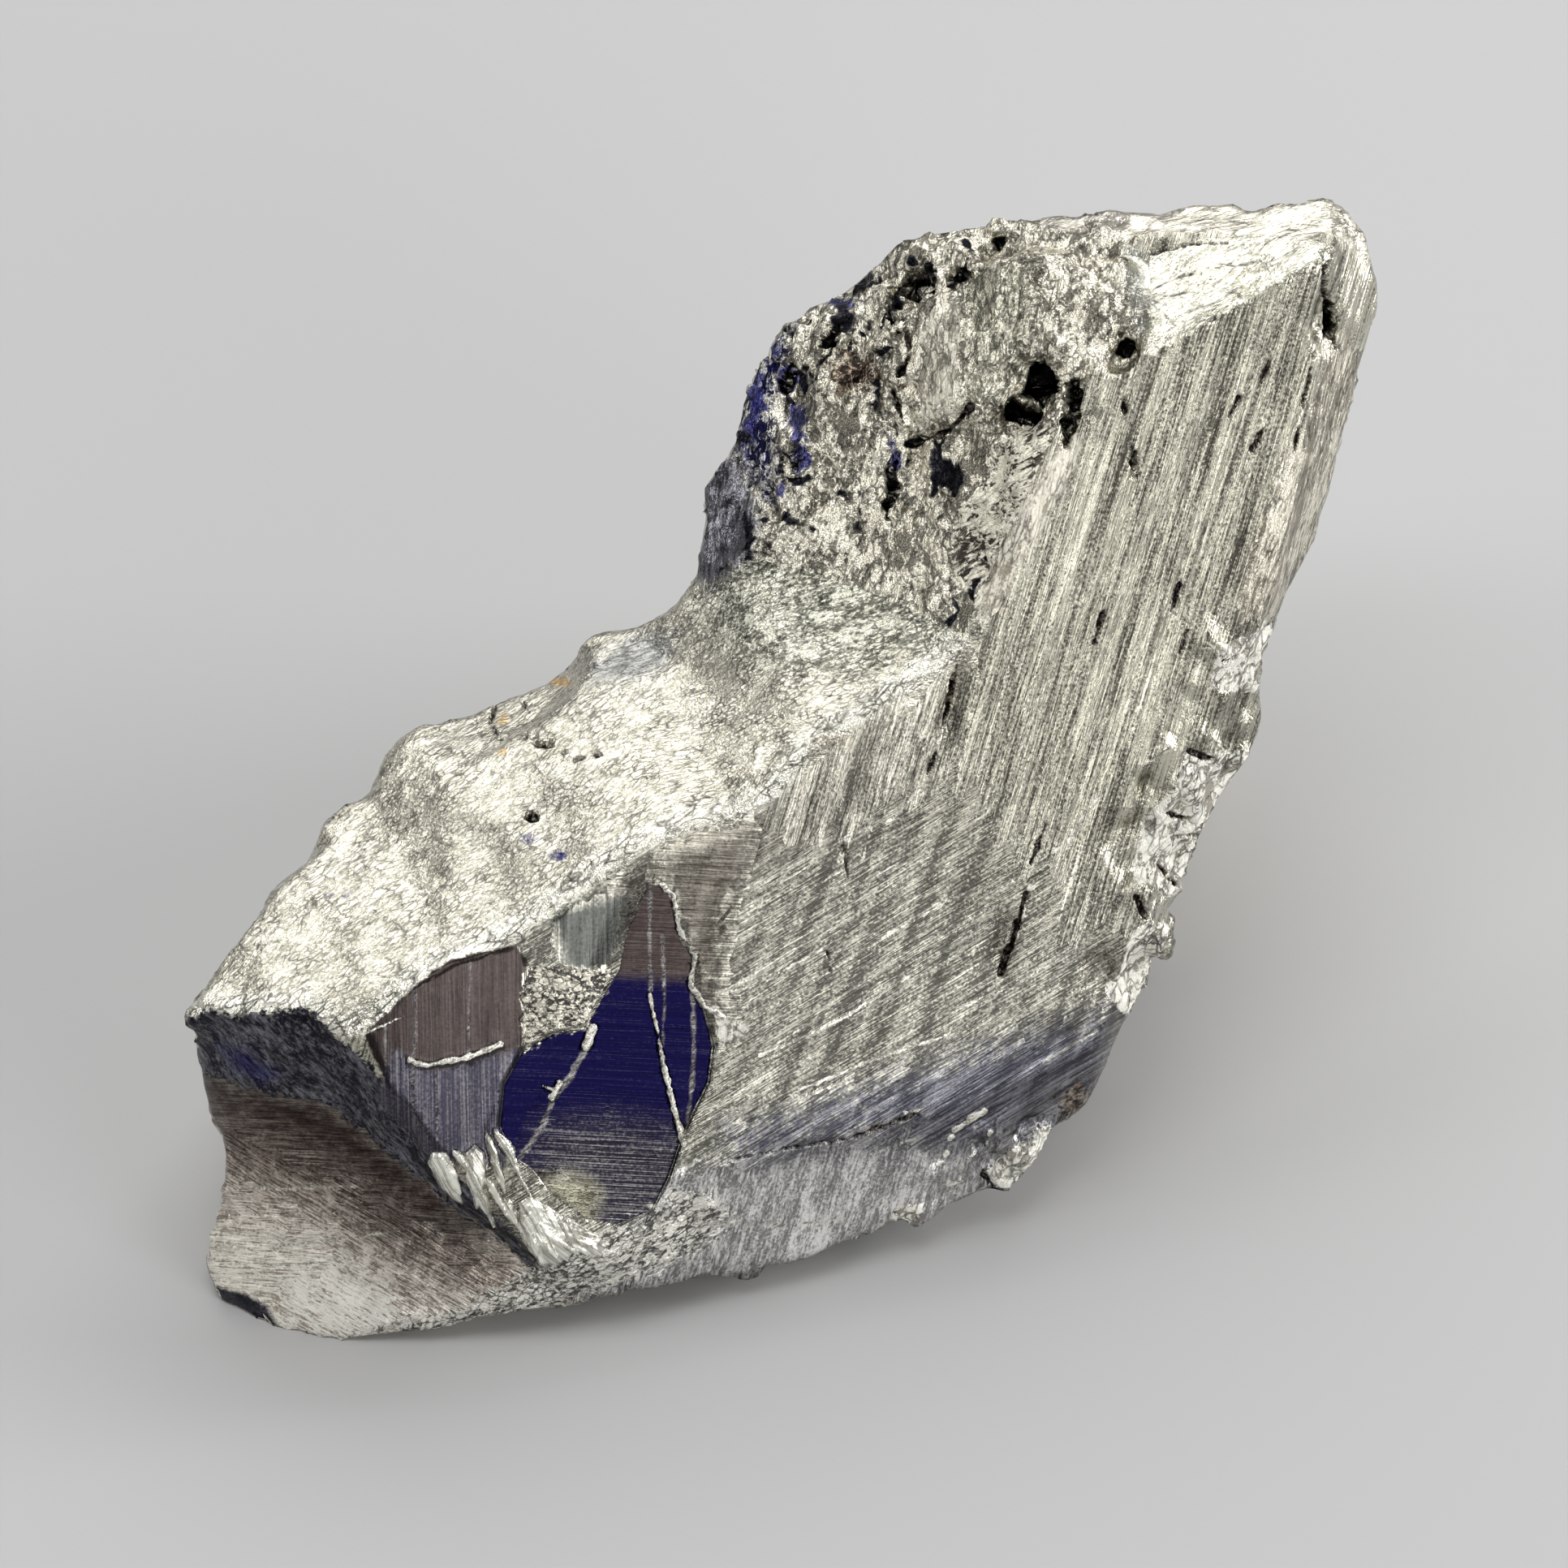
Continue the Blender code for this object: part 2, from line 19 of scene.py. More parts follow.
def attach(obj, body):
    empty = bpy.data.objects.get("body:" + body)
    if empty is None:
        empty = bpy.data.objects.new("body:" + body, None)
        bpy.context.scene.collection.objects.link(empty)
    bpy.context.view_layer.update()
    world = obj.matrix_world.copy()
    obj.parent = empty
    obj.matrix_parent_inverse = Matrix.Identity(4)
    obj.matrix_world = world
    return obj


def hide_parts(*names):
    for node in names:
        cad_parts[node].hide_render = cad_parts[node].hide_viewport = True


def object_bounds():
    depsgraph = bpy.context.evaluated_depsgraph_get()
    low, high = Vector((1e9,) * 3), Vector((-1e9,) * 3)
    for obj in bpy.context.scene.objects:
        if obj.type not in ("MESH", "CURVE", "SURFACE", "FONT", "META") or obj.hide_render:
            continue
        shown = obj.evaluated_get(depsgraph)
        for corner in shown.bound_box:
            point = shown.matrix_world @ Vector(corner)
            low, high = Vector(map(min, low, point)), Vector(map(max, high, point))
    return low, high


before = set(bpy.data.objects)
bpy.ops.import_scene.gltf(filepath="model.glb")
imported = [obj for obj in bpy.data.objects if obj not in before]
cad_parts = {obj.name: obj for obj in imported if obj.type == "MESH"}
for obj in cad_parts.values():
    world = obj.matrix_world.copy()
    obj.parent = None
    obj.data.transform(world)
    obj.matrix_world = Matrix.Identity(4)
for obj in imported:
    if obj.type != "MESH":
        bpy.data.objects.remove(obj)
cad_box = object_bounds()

print("solid is", [round(1000 * side, 1) for side in cad_box[1] - cad_box[0]], "mm")

# %% [markdown]
# ## The stone's own directions
#
# Everything on a broken face is easier to place flat on that face than in the room. So
# the work is done in millimetres along three directions of the broad face: `across` to
# its right, `up` along it, and `out` towards whoever looks at it. The stone leans back
# from upright, and one turn about X brings these directions into the room's. Row vectors
# times the matrix go back from the room to the face.

# %% Directions of the broad face
MM = 0.001
LEAN_BACK = math.radians(40)
FACE_TURN = Matrix.Rotation(math.pi / 2 - LEAN_BACK, 3, "X")
FACE_DATUM_MM = Vector((0.041, 8.660, 4.150))


def to_face(points):
    """Room metres to face millimetres: less the datum, turned back."""
    return (points / MM - np.array(FACE_DATUM_MM)) @ np.array(FACE_TURN)


def to_room(points):
    """Face millimetres to room metres: turned, plus the datum."""
    return (points @ np.array(FACE_TURN).T + np.array(FACE_DATUM_MM)) * MM


def in_room(across, up, out):
    """One face point as a room vector in metres."""
    return (FACE_TURN @ Vector((across, up, out)) + FACE_DATUM_MM) * MM


print("the face's outward direction in the room:", [round(c, 2) for c in FACE_TURN.col[2]])

# %% [markdown]
# ## Noise as whole arrays
#
# A broken surface is irregular at every size, so its relief is built from noise. Blender
# has noise textures, but a mesh that is moved in numpy can be measured, masked and
# exported as real shape. Value noise is enough: a fixed random number at every whole
# number lattice point, blended smoothly in between. The numbers come from integer
# mixing, so every run gives the same stone.

# %% Lattice noise
def lattice(cells, seed):
    """A fixed number from 0 to 1 for each whole-number cell, by mixing its coordinates."""
    mixed = cells[..., 0] * 374761393 + cells[..., 1] * 668265263 + cells[..., 2] * 2246822519
    mixed = (mixed + seed * 3266489917) & 0xFFFFFFFF
    mixed = ((mixed ^ (mixed >> 13)) * 1274126177) & 0xFFFFFFFF
    return (mixed ^ (mixed >> 16)) / 0xFFFFFFFF


def eased(value):
    """0 below 0 and 1 above 1, with 3x^2 - 2x^3 between."""
    value = np.clip(value, 0, 1)
    return value * value * (3 - 2 * value)


def noise(points, seed):
    """Smooth noise from -1 to 1: the eight lattice values around a point, blended."""
    cell = np.floor(points).astype(np.int64)
    part = eased(points - cell)
    total = np.zeros(len(points))
    for corner in np.ndindex(2, 2, 2):
        offset = np.array(corner)
        weight = np.where(offset == 1, part, 1 - part).prod(axis=1)
        total += weight * lattice(cell + offset, seed)
    return 2 * total - 1


def layered(points, seed, octaves=3):
    """Noise summed over octaves, each half as high and twice as fine."""
    return sum(noise(points * 2**k, seed + k) / 2**k for k in range(octaves))


def crumpled(points, seed, octaves=3):
    """Sharp crests and rounded hollows, as crumpled foil has: 1 less the size of the noise."""
    return sum((1 - 2 * np.abs(noise(points * 2**k, seed + k))) / 2**k for k in range(octaves))


def highest(arrays):
    """At each point, the highest of some arrays."""
    return np.maximum.reduce(list(arrays))


def stretched(points, along, length, width):
    """Points in grains: the part along a direction over its length, the rest over its width."""
    along = np.array(along, float)
    along /= np.linalg.norm(along)
    share = points @ along
    return (points - share[:, None] * along) / width + (share / length)[:, None] * along


print("noise of a few points:", noise(np.array([[0.2, 0.7, 1.1], [3.4, 2.2, 0.5]]), 1).round(3))

# %% [markdown]
# ## Crystal grains
#
# Where the mineral tore, it broke along the flat faces of small crystals. Each crystal
# shows a little plane with its own tilt. A cell pattern does this: every point belongs
# to the nearest of some scattered centres and takes its height from that centre's
# tilted plane. Blending the two nearest planes keeps the surface whole between them.

# %% Tilted planes
def broken(points, seed, join=0.2):
    """Heights from about -1 to 1 of tilted planes, one for each scattered centre."""
    cell = np.floor(points).astype(np.int64)
    near, second = np.full(len(points), 9.0), np.full(len(points), 9.0)
    near_plane, second_plane = np.zeros(len(points)), np.zeros(len(points))
    for corner in np.ndindex(3, 3, 3):
        at = cell + np.array(corner) - 1
        centre = at + np.stack([lattice(at, seed + k) for k in range(3)], axis=1)
        away = points - centre
        distance = np.sqrt((away**2).sum(axis=1))
        tilt = np.stack([lattice(at, seed + 3 + k) for k in range(3)], axis=1) * 2 - 1
        plane = lattice(at, seed + 6) - 0.5 + (away * tilt).sum(axis=1)
        nearer = distance < near
        between = ~nearer & (distance < second)
        second = np.where(nearer, near, np.where(between, distance, second))
        second_plane = np.where(nearer, near_plane, np.where(between, plane, second_plane))
        near = np.where(nearer, distance, near)
        near_plane = np.where(nearer, plane, near_plane)
    share = eased(0.5 + (second - near) / (2 * join))
    return share * near_plane + (1 - share) * second_plane


print("planes at a few points:", broken(np.array([[0.2, 0.7, 1.1], [3.4, 2.2, 0.5]]), 1).round(3))

# %% [markdown]
# ## The lines of the stone
#
# A crest, a valley or the edge of a stain is drawn once, as a row of points
# (across, up) on the broad face, and both the relief and the finish follow it. A side of
# a ring that lies off the stone is drawn loosely.

# %% Crests and valleys
LIP_TOP = [
    (-26.0, -10.2), (-24.6, -9.7), (-23.3, -9.9), (-21.9, -9.7), (-20.3, -9.6), (-19.7, -10.4),
    (-18.8, -10.9), (-17.4, -12.3), (-16.1, -14.0), (-15.3, -15.1), (-14.2, -16.6),
    (-12.8, -18.0), (-11.4, -19.4), (-10.4, -20.4), (-9.3, -22.3),
]
LIP_BOTTOM = [
    (-26.5, -11.6), (-24.6, -12.4), (-23.3, -12.9), (-21.7, -13.3), (-19.8, -13.5),
    (-18.1, -14.7), (-16.3, -16.2), (-14.2, -18.1), (-12.1, -19.6), (-10.0, -21.5), (-9.3, -22.3),
]
LEDGE_CREST = [
    (-18.8, -10.9), (-17.0, -10.0), (-15.6, -8.5), (-14.2, -7.8), (-11.1, -6.4), (-9.3, -5.0),
    (-7.7, -3.7), (-6.2, -2.8), (-4.1, -1.8), (-2.1, -1.3), (-0.2, -0.7), (0.9, 1.3),
    (3.3, 2.7), (5.0, 3.9), (7.0, 5.3), (7.7, 6.2),
]
TOWER_FOOT = [
    (-4.1, 8.4), (-2.3, 9.2), (-0.9, 9.6), (1.5, 8.9), (4.0, 8.1), (6.4, 7.0), (7.7, 6.2),
]
TOWER_CREST = [
    (7.7, 6.2), (8.2, 7.7), (9.6, 10.0), (10.4, 12.5), (11.3, 14.4), (12.2, 16.3),
    (13.3, 17.7), (15.2, 17.9),
]
TOP_FACET_FRONT = [
    (15.2, 17.9), (16.9, 18.8), (18.7, 19.9), (20.4, 20.8), (22.2, 21.9), (23.2, 22.3),
]
TEETH = 11  # small steps along the front of the top facet
TOOTH_HEIGHT = 0.42
TOP_FACET_BACK = [
    (14.7, 23.4), (16.9, 23.8), (19.7, 23.6), (22.2, 23.7), (23.8, 23.7), (23.2, 22.3),
]
SHELF_EDGE = LIP_TOP[:6] + LEDGE_CREST
FOOT_BEND = [
    (13.4, -11.3), (10.3, -12.7), (7.5, -13.9), (4.7, -14.6), (2.6, -15.1), (-0.2, -15.4),
    (-2.3, -16.3), (-4.8, -16.9), (-5.8, -18.7), (-7.9, -20.3), (-10.4, -20.4),
]

print("the lip's crest has", len(LIP_TOP), "points and the shelf's edge", len(SHELF_EDGE))

# %% Rings of the main surfaces
RINGS = {
    "lower face": [(-15, -4), (-3, 0), (3, 1), (7, -1), (12, -5), (22, -9), (10, -25), (-12, -25)],
    "foot": FOOT_BEND + [(-9.3, -22.3), (-9, -28), (20, -26), (20, -12)],
    "foot strip": [
        (-5.0, -16.8), (-1.0, -16.2), (4.0, -15.9), (8.0, -16.0), (9.0, -21.0), (-8.0, -21.0),
    ],
    "violet": [
        (-2.6, -14.8), (2.0, -13.4), (6.0, -12.0), (10.0, -10.8), (14.5, -9.5), (14.0, -12.0),
        (12.0, -14.0), (10.0, -15.0), (7.5, -15.6), (5.2, -14.9), (2.0, -15.3), (-1.5, -16.2),
    ],
    "bevel": [
        (23.3, 19.6), (22.5, 15.7), (21.2, 13.8), (20.0, 9.9), (19.3, 7.0), (21.0, 7.0),
        (26.0, 18.0),
    ],
    "film": [
        (-7.7, -4.9), (-5.8, -3.3), (-3.7, -1.9), (-0.5, -1.2), (-1.0, -3.2), (-2.3, -5.5),
        (-2.4, -8.0), (-2.3, -10.5), (-3.6, -11.5), (-4.0, -8.4), (-4.9, -5.0), (-5.8, -4.0),
        (-6.4, -6.4), (-7.3, -7.4), (-7.9, -6.4),
    ],
    "ledge shade": [
        (-0.4, -0.9), (0.9, 1.1), (3.3, 2.5), (5.0, 3.7), (7.0, 5.1), (7.6, 5.6), (6.9, 3.0),
        (6.2, 0.6), (4.0, -1.6), (1.5, -3.0), (-1.0, -3.4),
    ],
    "slate": [
        (-10.0, -5.4), (-7.7, -4.9), (-6.7, -4.6), (-6.9, -6.6), (-7.6, -8.2), (-9.4, -8.0),
    ],
    "shelf": SHELF_EDGE + TOWER_FOOT[::-1] + [(-6, 11), (-14, 9), (-22, 4), (-30, -8)],
    "shelf right": [
        (-4.0, -1.9), (1.0, 1.3), (7.0, 5.3), (8.2, 7.0), (2.0, 5.2), (-3.0, 4.6), (-6.5, 1.0),
    ],
    "lobe": [
        (-8.6, 5.0), (-6.6, 6.4), (-4.6, 6.6), (-4.9, 5.2), (-6.2, 4.4), (-8.2, 4.2),
    ],
    "valley": [
        (-3.9, 8.3), (-0.9, 11.5), (2.6, 12.2), (5.4, 11.1), (8.0, 9.3), (8.4, 6.9),
        (6.5, 5.6), (3.0, 4.6), (-0.6, 4.9), (-3.2, 6.3),
    ],
    "tower": TOWER_FOOT + TOWER_CREST + [(15.4, 19.8), (15.7, 22.3)] + TOP_FACET_BACK[:5]
    + [(27, 27), (10, 29), (-6, 25), (-8, 10)],
    "end": LIP_BOTTOM + [(-9.3, -28), (-30, -28), (-30, -11.5)],
    "end sparkle": [(-18.5, -17.5), (-14.0, -20.0), (-9.0, -23.0), (-9.0, -28.0), (-27.0, -28.0),
                    (-22.0, -22.5)],
    # a brown band below the lip: partly the end's own tone and partly painted shade under the lip
    "end brown": LIP_BOTTOM + [(-13.0, -22.5), (-17.0, -20.6), (-21.0, -18.2), (-30, -16.8)],
    "end shade": [(across + 0.5, up + 0.9) for across, up in LIP_BOTTOM[:-2]] + [
        (-13.6, -20.2), (-16.5, -18.8), (-18.9, -17.0), (-22.5, -15.4), (-24.9, -14.9),
        (-29, -14.6),
    ],
    "lip": LIP_TOP + LIP_BOTTOM[::-1],
}

print(len(RINGS), "main rings")


# %% Rings of the smaller surfaces
def saw(line, teeth, height):
    """The line with teeth: each runs level with it, then drops by the height."""
    line = np.array(line)
    share = np.repeat(np.arange(teeth + 1) / teeth, 2)[1:]
    where = share * (len(line) - 1)
    points = np.stack([np.interp(where, np.arange(len(line)), line[:, k]) for k in (0, 1)], axis=1)
    points[::2, 1] += height
    return [tuple(point) for point in points]


RINGS |= {
    "crown": [
        (7.7, 22.0), (10.2, 22.3), (11.0, 20.0), (10.3, 18.0), (8.8, 16.4), (7.6, 16.0),
        (7.7, 19.0),
    ],
    "slab": [
        (6.7, 21.0), (7.6, 20.7), (7.5, 19.1), (7.3, 17.2), (7.0, 16.0), (5.9, 15.3), (5.7, 17.2),
        (5.9, 19.1),
    ],
    "hackles": [
        (7.2, 9.7), (7.5, 11.4), (8.7, 13.2), (9.6, 14.9), (11.3, 15.8), (11.6, 14.6), (10.8, 13.2),
        (10.1, 11.4), (9.2, 9.3), (8.6, 8.0), (7.7, 8.3),
    ],
    "buff": [
        (11.3, 14.2), (12.6, 14.9), (12.4, 13.2), (11.3, 11.4), (10.4, 9.7), (9.4, 7.7), (8.4, 6.9),
        (8.2, 7.9), (9.1, 9.7), (9.9, 11.4), (10.6, 12.8),
    ],
    "blue flank": [
        (-1.9, 17.4), (-1.2, 19.7), (0.4, 20.4), (0.2, 18.6), (-0.6, 16.3), (-0.3, 14.2),
        (-0.4, 12.0), (-1.2, 12.6), (-2.2, 14.2),
    ],
    "slate flank": [
        (-3.9, 13.9), (-2.1, 14.3), (-1.3, 12.8), (-0.9, 11.4), (-1.4, 9.7), (-3.2, 8.4),
        (-4.5, 9.3),
    ],
    "top facet": saw(TOP_FACET_FRONT, TEETH, TOOTH_HEIGHT) + [
        (24.0, 23.0), (22.0, 23.5), (18.0, 23.4), (15.7, 22.7), (15.6, 20.0),
    ],
    "grey facet": [(14.5, 23.2), (15.5, 22.9), (15.7, 19.6), (15.2, 19.0), (14.8, 20.5)],
    "top edge": [
        (10.6, 24.4), (14.6, 23.7), (23.6, 23.4), (25.6, 22.0), (26.5, 25.0), (24.0, 28.0),
        (10.0, 28.0),
    ],
    "rim": [(10.8, 25.2), (16.3, 25.0), (16.3, 23.6), (13.4, 23.9), (11.0, 23.8)],
    "panel": [
        (-17.9, -10.6), (-15.5, -8.4), (-14.2, -7.4), (-11.4, -6.9), (-10.9, -7.5),
        (-11.1, -11.3), (-12.2, -12.7), (-12.7, -15.2), (-13.2, -15.6), (-14.7, -15.5),
        (-15.6, -14.7), (-16.7, -13.3), (-17.7, -11.3),
    ],
    "panel foot": [
        (-16.6, -11.2), (-15.8, -12.0), (-14.9, -12.2), (-13.2, -11.8), (-11.0, -11.2),
        (-11.9, -16.4), (-15.0, -16.0), (-17.5, -13.5),
    ],
    "hollow": [
        (-5.8, -4.2), (-5.1, -4.3), (-4.6, -5.2), (-4.4, -6.6), (-3.7, -7.5), (-4.0, -8.7),
        (-3.4, -9.6), (-3.0, -11.2), (-3.2, -12.8), (-3.9, -14.2), (-4.4, -15.4),
        (-4.9, -16.9), (-5.6, -18.3), (-7.1, -18.9), (-8.6, -18.6), (-9.9, -17.6),
        (-10.8, -16.5), (-11.7, -15.9), (-12.2, -14.6), (-12.0, -12.8), (-11.2, -11.3),
        (-9.9, -10.6), (-8.5, -10.3), (-7.9, -9.2), (-7.1, -7.9), (-6.8, -6.4),
    ],
    "hollow top": [(-9.0, -3.5), (-2.8, -3.5), (-2.8, -8.3), (-5.2, -8.4), (-9.0, -8.0)],
    "hollow foot": [
        (-10.2, -14.6), (-7.5, -14.3), (-4.0, -14.9), (-3.5, -19.5), (-10.0, -19.5),
        (-11.5, -17.0),
    ],
    "olive": [(-10.6, -16.9), (-8.8, -16.7), (-7.9, -17.4), (-8.2, -18.8), (-10.2, -18.4)],
    "lip blue": [(-24.2, -11.1), (-22.8, -11.4), (-21.6, -12.4), (-22.2, -12.8), (-23.6, -12.2)],
    "chamfer": [
        (-25.2, -21.4), (-24.0, -21.6), (-22.8, -22.0), (-22.0, -22.6), (-21.2, -24.2),
        (-22.0, -25.0), (-26.5, -23.0),
    ],
    "sugar": [
        (-11.0, -7.6), (-9.6, -7.9), (-7.6, -7.9), (-7.2, -7.9), (-8.0, -9.4), (-8.4, -10.4),
        (-9.9, -10.6), (-11.1, -11.4), (-11.2, -9.6),
    ],
    "foot sugar": [
        (-10.7, -20.8), (-7.4, -19.0), (-5.9, -18.6), (-4.8, -17.4), (-3.3, -17.4), (-2.1, -18.5),
        (-3.4, -19.9), (-6.8, -21.4), (-12.0, -23.0), (-19.0, -24.5), (-19.0, -23.6),
        (-14.0, -22.6),
    ],
    "fan": [
        (-10.7, -18.2), (-9.3, -18.8), (-7.6, -19.6), (-7.8, -20.2), (-9.1, -20.1), (-9.7, -20.6),
        (-10.4, -20.6), (-11.1, -19.6), (-11.4, -18.8),
    ],
}
print(len(RINGS), "rings with the smaller ones")

# %% Rings of the chips
CHIPS = {
    "upper chips": [
        (18.8, 5.9), (20.0, 6.4), (20.8, 7.1), (21.5, 6.4), (20.8, 4.9), (20.3, 3.9), (18.9, 4.0),
        (18.3, 3.9), (18.4, 5.0),
    ],
    "middle chips": [
        (17.2, 1.3), (18.8, 1.3), (20.2, 1.6), (19.4, 0.0), (18.7, -1.2), (18.2, -2.7),
        (17.6, -3.6), (17.0, -4.6), (16.4, -4.9), (15.8, -4.3), (14.9, -4.3), (15.1, -3.2),
        (15.3, -2.3), (15.6, -1.2), (16.7, -0.3), (17.1, 0.6),
    ],
    "lower chips": [
        (13.8, -8.6), (14.4, -8.1), (14.9, -6.3), (15.6, -5.9), (16.7, -6.1), (16.1, -7.6),
        (15.5, -9.4), (14.7, -10.0), (14.0, -9.2),
    ],
    "foot chips": [
        (8.7, -16.6), (9.2, -16.1), (9.9, -15.6), (10.7, -15.2), (10.7, -14.7), (11.5, -14.6),
        (11.3, -15.7), (11.0, -16.6), (10.5, -17.6), (9.7, -18.0), (9.0, -17.2),
    ],
    "small foot chip": [(4.6, -18.4), (5.1, -18.1), (6.0, -18.0), (5.7, -18.7), (5.1, -19.2)],
    "left chip": [(-25.0, -17.2), (-24.3, -17.3), (-24.2, -18.4), (-24.9, -19.4), (-26.0, -18.5)],
    "hollow chip": [(-3.0, -9.4), (-2.4, -10.1), (-1.4, -10.4), (-2.2, -11.2), (-2.9, -10.9)],
}
print(len(RINGS) + len(CHIPS), "rings of", sum(map(len, (RINGS | CHIPS).values())), "points")

# %% [markdown]
# ## Pits, slots and veins
#
# Pits are holes where a crystal fell out, so each is an oval with a depth. Slots are
# thin dark clefts, and veins are thin bright threads that stand a little proud, both
# drawn as lines with a half width. A row of crumbs is a short thick vein, and a thread
# is a vein that has no height. Splinters are
# thin blades that lean out where the lip breaks off, and some of them spread like a fan.

# %% Pits and slots
PITS = [  # (across, up, half width, half height, depth)
    (11.0, 17.2, 0.6, 0.7, 1.1), (10.4, 15.9, 0.7, 0.42, 1.0), (12.4, 16.7, 0.22, 0.6, 0.6),
    (12.2, 15.4, 0.25, 0.45, 0.5), (5.5, 21.3, 0.6, 0.45, 0.9), (4.7, 20.3, 0.3, 0.5, 0.6),
    (9.2, 23.3, 0.32, 0.2, 0.4), (14.6, 18.7, 0.26, 0.30, 0.5), (23.4, 19.9, 0.22, 0.8, 0.8),
    (0.2, 17.3, 0.18, 0.35, 0.4), (0.4, 13.9, 0.15, 0.35, 0.4), (15.0, 13.6, 0.16, 0.4, 0.4),
    (14.6, 16.1, 0.14, 0.35, 0.3), (4.6, 12.9, 0.25, 0.7, 0.5), (2.0, 19.0, 0.4, 0.3, 0.5),
    (7.5, 21.9, 0.5, 0.25, 0.5), (-10.2, 1.7, 0.35, 0.2, 0.35), (-10.8, -1.4, 0.3, 0.15, 0.3),
]
SLOTS = [  # (half width, depth, points)
    (0.05, 0.30, [(7.5, 5.4), (7.2, 4.2)]), (0.09, 0.35, [(7.2, 4.2), (6.85, 2.5)]),
    (0.06, 0.25, [(6.6, 1.6), (6.2, 0.4)]),
    (0.05, 0.20, [(11.2, -1.8), (10.6, -3.4)]),
    (0.09, 0.30, [(10.4, -4.7), (10.1, -5.7)]), (0.15, 0.35, [(10.0, -5.9), (9.6, -7.1)]),
    (0.11, 0.30, [(9.6, -7.1), (9.3, -8.1)]),
    (0.06, 0.25, [(2.6, -2.7), (2.75, -4.1)]),
    (0.04, 0.20, [(1.9, -7.2), (2.0, -8.0)]),
    (0.09, 0.30, [(23.2, 22.2), (23.2, 20.9), (23.4, 19.8), (23.7, 18.7)]),
    (0.04, 0.20, [(22.8, 18.6), (22.2, 16.0), (21.9, 14.2)]),
    (0.08, 0.20, [(20.8, 18.1), (20.5, 17.2)]), (0.10, 0.20, [(19.5, 16.6), (19.1, 15.7)]),
    (0.08, 0.20, [(20.5, 15.2), (20.1, 14.3)]), (0.06, 0.20, [(17.0, 8.6), (16.6, 7.4)]),
    (0.06, 0.20, [(13.7, 7.4), (13.3, 6.1)]), (0.05, 0.20, [(17.3, 6.6), (17.0, 5.6)]),
    (0.09, 0.30, [(5.2, 19.6), (5.4, 18.4), (4.9, 17.5)]), (0.08, 0.25, [(4.7, 16.8), (5.1, 15.5)]),
    (0.08, 0.25, [(4.9, 14.2), (4.5, 13.0)]),
    (0.11, 0.30, [(8.0, 16.2), (7.2, 15.2), (6.0, 14.7), (5.2, 14.6)]),
    (0.10, 0.30, [(17.4, 1.4), (18.3, 1.1)]), (0.08, 0.25, [(16.5, -1.3), (17.4, -1.5)]),
    (0.08, 0.25, [(16.7, -2.3), (17.9, -2.2)]), (0.10, 0.30, [(16.1, -3.5), (16.8, -4.2)]),
    (0.11, 0.30, [(15.1, -4.9), (15.5, -5.6)]), (0.06, 0.20, [(18.9, 5.2), (20.0, 5.8)]),
    (0.13, 0.30, [(8.6, -16.7), (9.0, -17.6)]),
    (0.04, 0.15, [(-9.0, 1.0), (-8.2, 1.3), (-7.5, 1.2)]),
    (0.04, 0.20, [(-12.4, 3.5), (-12.6, 2.6), (-12.1, 1.9)]),
    (0.04, 0.20, [(-11.2, 3.5), (-10.8, 2.8), (-11.1, 2.0)]),
    (0.03, 0.10, [(15.6, 22.7), (17.6, 23.2), (19.0, 23.2)]),
    (0.04, 0.10, [(-2.4, -16.1), (0.2, -15.6), (2.8, -15.2), (5.8, -14.1)]),
]
print(len(PITS), "pits and", len(SLOTS), "slots")

# %% Veins, threads and scratches
VEINS = [  # (half width, height, points)
    (0.11, 0.06, [(10.5, -4.5), (10.7, -4.3)]), (0.06, 0.05, [(10.3, -5.3), (10.2, -5.8)]),
    (0.05, 0.04, [(10.05, -6.3), (10.0, -6.6)]), (0.07, 0.05, [(10.35, -4.9), (10.4, -5.0)]),
    (0.08, 0.05, [(6.75, 2.2), (6.6, 1.8)]), (0.05, 0.04, [(6.9, 2.5), (7.0, 2.2)]),
    (0.11, 0.06, [(-16.0, -11.8), (-15.2, -12.0), (-13.6, -11.7), (-12.1, -11.1)]),
    (0.04, 0.02, [(-18.0, -10.7), (-16.2, -9.9)]),
    (0.17, 0.07, [(-8.15, -10.4), (-8.5, -11.2)]),
    (0.12, 0.06, [(-9.6, -12.8), (-9.9, -13.4)]), (0.08, 0.05, [(-10.3, -12.9), (-9.8, -13.1)]),
    (0.06, 0.05, [(-5.75, -9.0), (-5.4, -10.6)]), (0.08, 0.06, [(-5.4, -10.6), (-5.15, -12.0)]),
    (0.11, 0.07, [(-5.15, -12.0), (-4.9, -13.1)]), (0.13, 0.07, [(-4.9, -13.1), (-4.3, -15.4)]),
    (0.08, 0.06, [(-5.5, -4.1), (-4.7, -4.7), (-4.5, -6.2), (-3.8, -7.4)]),
    (0.10, 0.07, [(-3.8, -7.4), (-4.0, -8.6), (-3.4, -9.5), (-2.6, -10.0)]),
    (0.15, 0.08, [(7.3, -14.8), (8.6, -14.0)]), (0.11, 0.07, [(7.1, -15.2), (7.2, -15.1)]),
    (0.11, 0.07, [(6.9, -15.9), (7.0, -15.8)]), (0.11, 0.07, [(6.6, -16.3), (6.7, -16.2)]),
    (0.09, 0.06, [(8.8, -15.0), (8.9, -14.9)]), (0.08, 0.06, [(8.7, -15.4), (8.7, -15.4)]),
    (0.08, 0.06, [(8.2, -15.7), (8.1, -15.9)]), (0.10, 0.07, [(7.1, -17.2), (7.6, -17.0)]),
    (0.05, 0.04, [(6.0, -13.9), (5.2, -14.1)]),
    (0.08, 0.03, [(23.5, 20.3), (23.6, 20.2)]),
]
